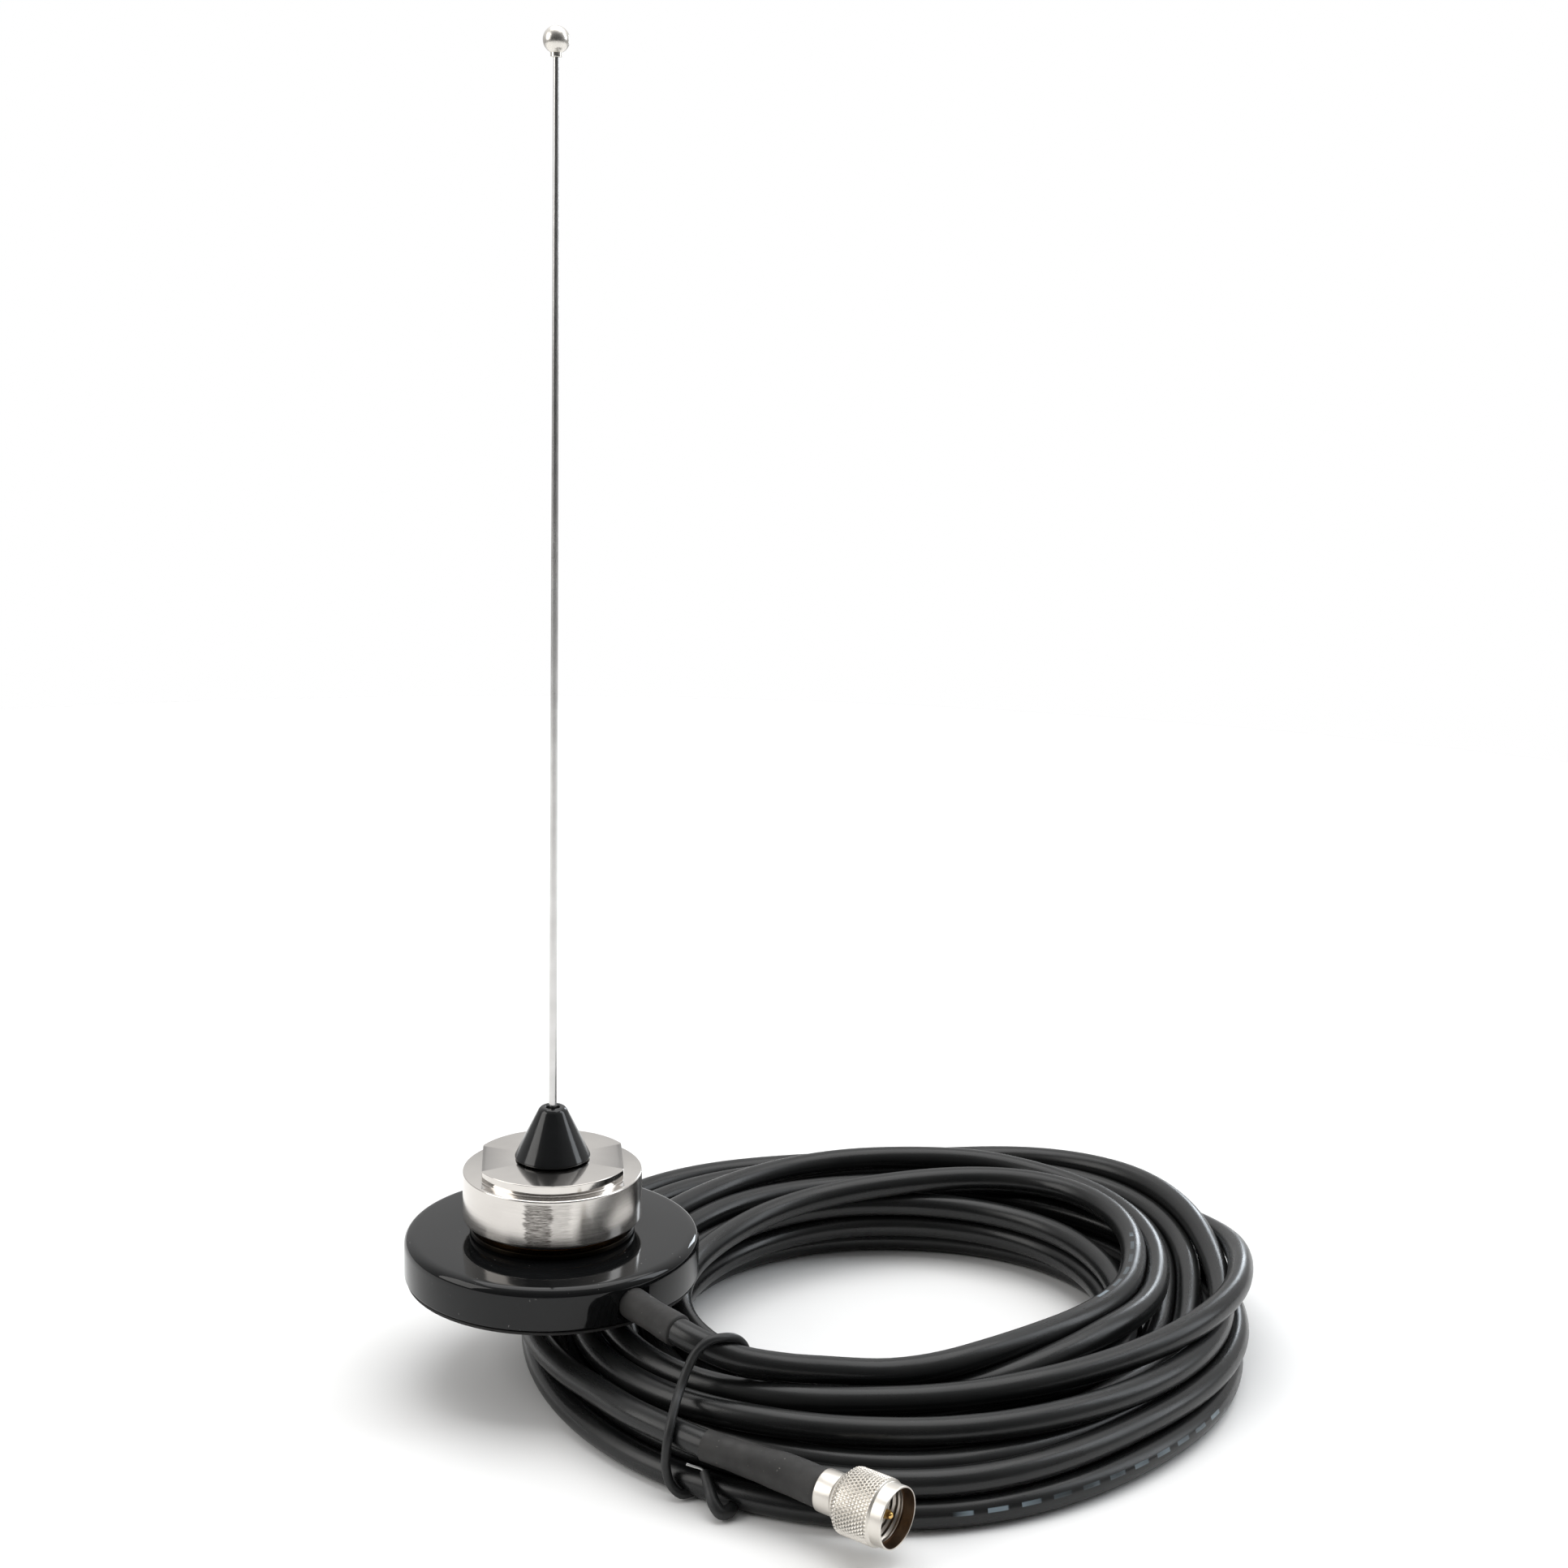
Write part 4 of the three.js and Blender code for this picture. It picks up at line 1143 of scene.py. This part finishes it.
def make_plug_inside():
    """The body inside the nut, its washer, ring, insulator and pin, and the crimp ferrule."""
    groove = RING_GROOVE
    neck_r = PLUG_BODY_R - 0.5
    wire_hole_r = 1.2
    collar_r = 4.1
    nose_r = 3.3
    nose_hole_r = 2.7
    nose_front = groove + 4.4

    def serrated(index, angle, height):
        """The body's front edge is serrated, to bite on the jack."""
        return 0.12 * sawtooth(24 * angle / tau) - 0.12 if height > nose_front - 0.4 else 0

    body = plug_piece("plug_body", [
        (wire_hole_r, NUT_BACK - 1.9), (neck_r, NUT_BACK - 1.9), (neck_r, NUT_BACK - 0.6),
        (PLUG_BODY_R, NUT_BACK - 0.6), (PLUG_BODY_R, groove), (neck_r, groove),
        (neck_r, groove + 0.9), (collar_r, groove + 0.9, 0.15), (collar_r, groove + 2, 0.2),
        (nose_r, groove + 2, 0.1), (nose_r, nose_front, 0.15), (nose_hole_r, nose_front, 0.12),
        (nose_hole_r, groove + 1.4), (wire_hole_r, groove + 1.4),
    ], "bright_nickel", "connector_body", relief=serrated)

    washer_in, washer_out = nose_r + 0.15, PLUG_BORE_R - 0.35
    washer_back, washer_front = groove + 2.2, groove + 2.9
    washer = plug_piece("face_washer", [
        (washer_in, washer_back, 0.15), (washer_out, washer_back, 0.15),
        (washer_out, washer_front, 0.15), (washer_in, washer_front, 0.15),
    ], "black_rubber", "plug_gasket")

    pin_r = 0.8
    disc_in, disc_out = pin_r + 0.12, nose_hole_r - 0.15
    disc_back, disc_front = groove + 1.55, groove + 4
    disc = plug_piece("pin_insulator", [
        (disc_in, disc_back, 0.08), (disc_out, disc_back, 0.1),
        (disc_out, disc_front, 0.2), (disc_in, disc_front, 0.15),
    ], "white_insulator", "plug_insulator", sides=64)

    pin = plug_piece("gold_pin", [
        (0, NUT_BACK - 1.5), (pin_r, NUT_BACK - 1.5), (pin_r, -2.1, 0.3),
        (pin_r * 0.72, -1.25, 0.25), (0, -1.0),
    ], "gold_plate", "centre_pin", sides=48, steps=6)

    ferrule_in, ferrule_r = 3.05, 3.6
    ferrule = plug_piece("ferrule", [
        (ferrule_in, FERRULE_BACK), (ferrule_r, FERRULE_BACK, 0.25),
        (ferrule_r + 0.02, FERRULE_BACK + 1.2, 0.3), (ferrule_r, FERRULE_FRONT, 0.22),
        (ferrule_in, FERRULE_FRONT),
    ], "bright_nickel", "crimp_ferrule", material="coupling_nickel")

    ring_line_r = 3.4
    ring_opening = 0.35  # radians, half of it
    ring_steps = 48
    ring_line = []
    for i in range(ring_steps + 1):
        angle = ring_opening + (tau - 2 * ring_opening) * i / ring_steps
        local = Vector((ring_line_r * cos(angle), ring_line_r * sin(angle),
                        groove + 0.45))
        ring_line.append(tuple(PLUG_MATRIX @ local))
    ring = tube("snap_ring", ring_line, SNAP_WIRE_R, sides=10, upright=False)
    dress(ring, "root", "steel", "retaining_ring")
    return [body, washer, disc, pin, ferrule, ring]


def make_plug_sleeve():
    """The shrink sleeve over the crimp: thin on the cable, swelling to the ferrule's size."""
    end = PLUG_FACE + PLUG_WAY * (FERRULE_BACK - 0.15)
    line = curve_through([*TAIL[:3], tuple(end)], 60)
    radii = []
    for i in range(len(line)):
        t = i / (len(line) - 1)
        swell = 0.5 - 0.5 * cos(pi * min(1.0, max(0.0, (t - 0.25) / 0.5)))
        ripple = 0.035 * sin(23 * t) * sin(pi * t)
        radii.append(2.68 + 0.62 * swell + ripple)
    lead = np.array(line[0]) - (line[1] - line[0]) * 0.3
    line = np.vstack([lead, line])
    radii = [2.5, *radii]
    radii[-1] -= 0.12
    sleeve = tube("crimp_sleeve", line, radii, sides=36)
    return dress(sleeve, "root", "shrink_sleeve", "plug_sleeve")


# --- the twist tie

TIE_R = 0.82
TIE_FLAT_R = 0.3  # where it is pressed flat under the coil
TIE_CLEARANCE = 0.03  # over the floor
TIE_ROUTE = [
    (31.5, -46.5, 0.35), (36.5, -38.5, 0.35), (41.6, -26.8, 0.5), (43.6, -22.3, 2.5),
    (43.4, -22.4, 6.5), (42.6, -23.4, 12.0), (40.9, -26.9, 14.9), (38.8, -30.8, 15.6),
    (37.8, -32.6, 17.6), (36.9, -33.3, 20.6), (35.3, -35.0, 22.7), (33.2, -36.8, 23.6),
    (31.0, -38.1, 23.6), (28.9, -39.0, 22.0), (27.5, -39.9, 19.4), (26.4, -41.8, 16.8),
    (25.5, -45.2, 14.6), (24.8, -48.0, 11.8), (24.4, -48.8, 8.4), (24.4, -48.8, 5.4),
    (25.3, -49.3, 2.6), (27.0, -49.6, 1.1), (29.0, -48.4, 0.9),
]
TIE_END = [(36.6, -46.5, 0.4), (36.0, -52.0, 0.6), (35.1, -55.2, 1.15), (34.1, -56.0, 1.4),
           (33.0, -55.4, 2.4), (31.9, -53.2, 4.4), (31.0, -51.1, 6.2)]
TIE_END_RADII = [0.3, 0.5, 0.95, 1.2, 1.12, 0.95, 0.85]
TIE_WIRE = [(31.2, -51.5, 5.9), (30.6, -51.0, 6.5), (29.3, -50.7, 6.8), (27.9, -50.4, 7.1)]
WIRE_R = 0.25


def tie_piece(name, route, count, places, thickness, replaced):
    """A stretch of the tie over the floor. Its thickness is given at shares of its length."""
    line = curve_through(route, count)
    radii = np.interp(np.linspace(0, 1, count), places, thickness)
    line[:, 2] = np.maximum(line[:, 2], radii + TIE_CLEARANCE)
    made = tube(name, line, radii, sides=20, upright=False)
    return dress(made, "root", "tie_coat", replaced)


def make_tie():
    loop = tie_piece("tie_loop", TIE_ROUTE, 160, (0.0, 0.2, 0.28, 1.0),
                     (TIE_FLAT_R, TIE_FLAT_R, TIE_R, TIE_R), "twist_tie")
    end = tie_piece("tie_end", TIE_END, 48, np.linspace(0, 1, len(TIE_END_RADII)),
                    TIE_END_RADII, "twist_tie_end")

    wire = tube("tie_wire", curve_through(TIE_WIRE, 16), WIRE_R, sides=12, upright=False)
    dress(wire, "root", "steel", "tie_wire_tip")
    return [loop, end, wire]


# --- the spring in the antenna's foot

SPRING_WIRE_R = 0.14
SPRING_TURNS = 3


def make_spring():
    """The spring over the contact: round wire wound in a few turns."""
    low, high = box("contact_spring")
    coil_r = high.x - SPRING_WIRE_R
    bottom = low.z + SPRING_WIRE_R
    rise = high.z - SPRING_WIRE_R - bottom
    count = SPRING_TURNS * 24
    line = []
    for i in range(count + 1):
        angle = tau * SPRING_TURNS * i / count
        line.append((coil_r * cos(angle), coil_r * sin(angle), bottom + rise * i / count))
    spring = tube("foot_spring", line, SPRING_WIRE_R, sides=12)
    dress(spring, "antenna", "steel", "contact_spring")
    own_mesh(spring)


# --- CAD nodes that stay


def dress_cad_nodes():
    """The pieces inside the base and the nut keep their CAD shapes."""
    slots = {part["node"]: part["material_slot"] for part in frame["record"]["subparts"]}
    for name, cad in frame["nodes"].items():
        if cad.hide_render:
            continue
        material = MATERIALS[slots[name]]
        if not cad.material_slots:
            cad.data.materials.append(material)
        for held in cad.material_slots:
            held.material = material


# --- the scene

make_camera()
coax, coax_line = make_cable()
base_sleeve = make_sleeve(coax_line)
coupling = make_coupling()
plug_pieces = make_plug_inside()
crimp_sleeve = make_plug_sleeve()
tie_pieces = make_tie()
make_floor()
make_lights()
make_cover()
make_pad()
make_collar()
make_nut()
make_seal()
make_cone()
make_whip()
make_ball()
make_spring()
dress_cad_nodes()
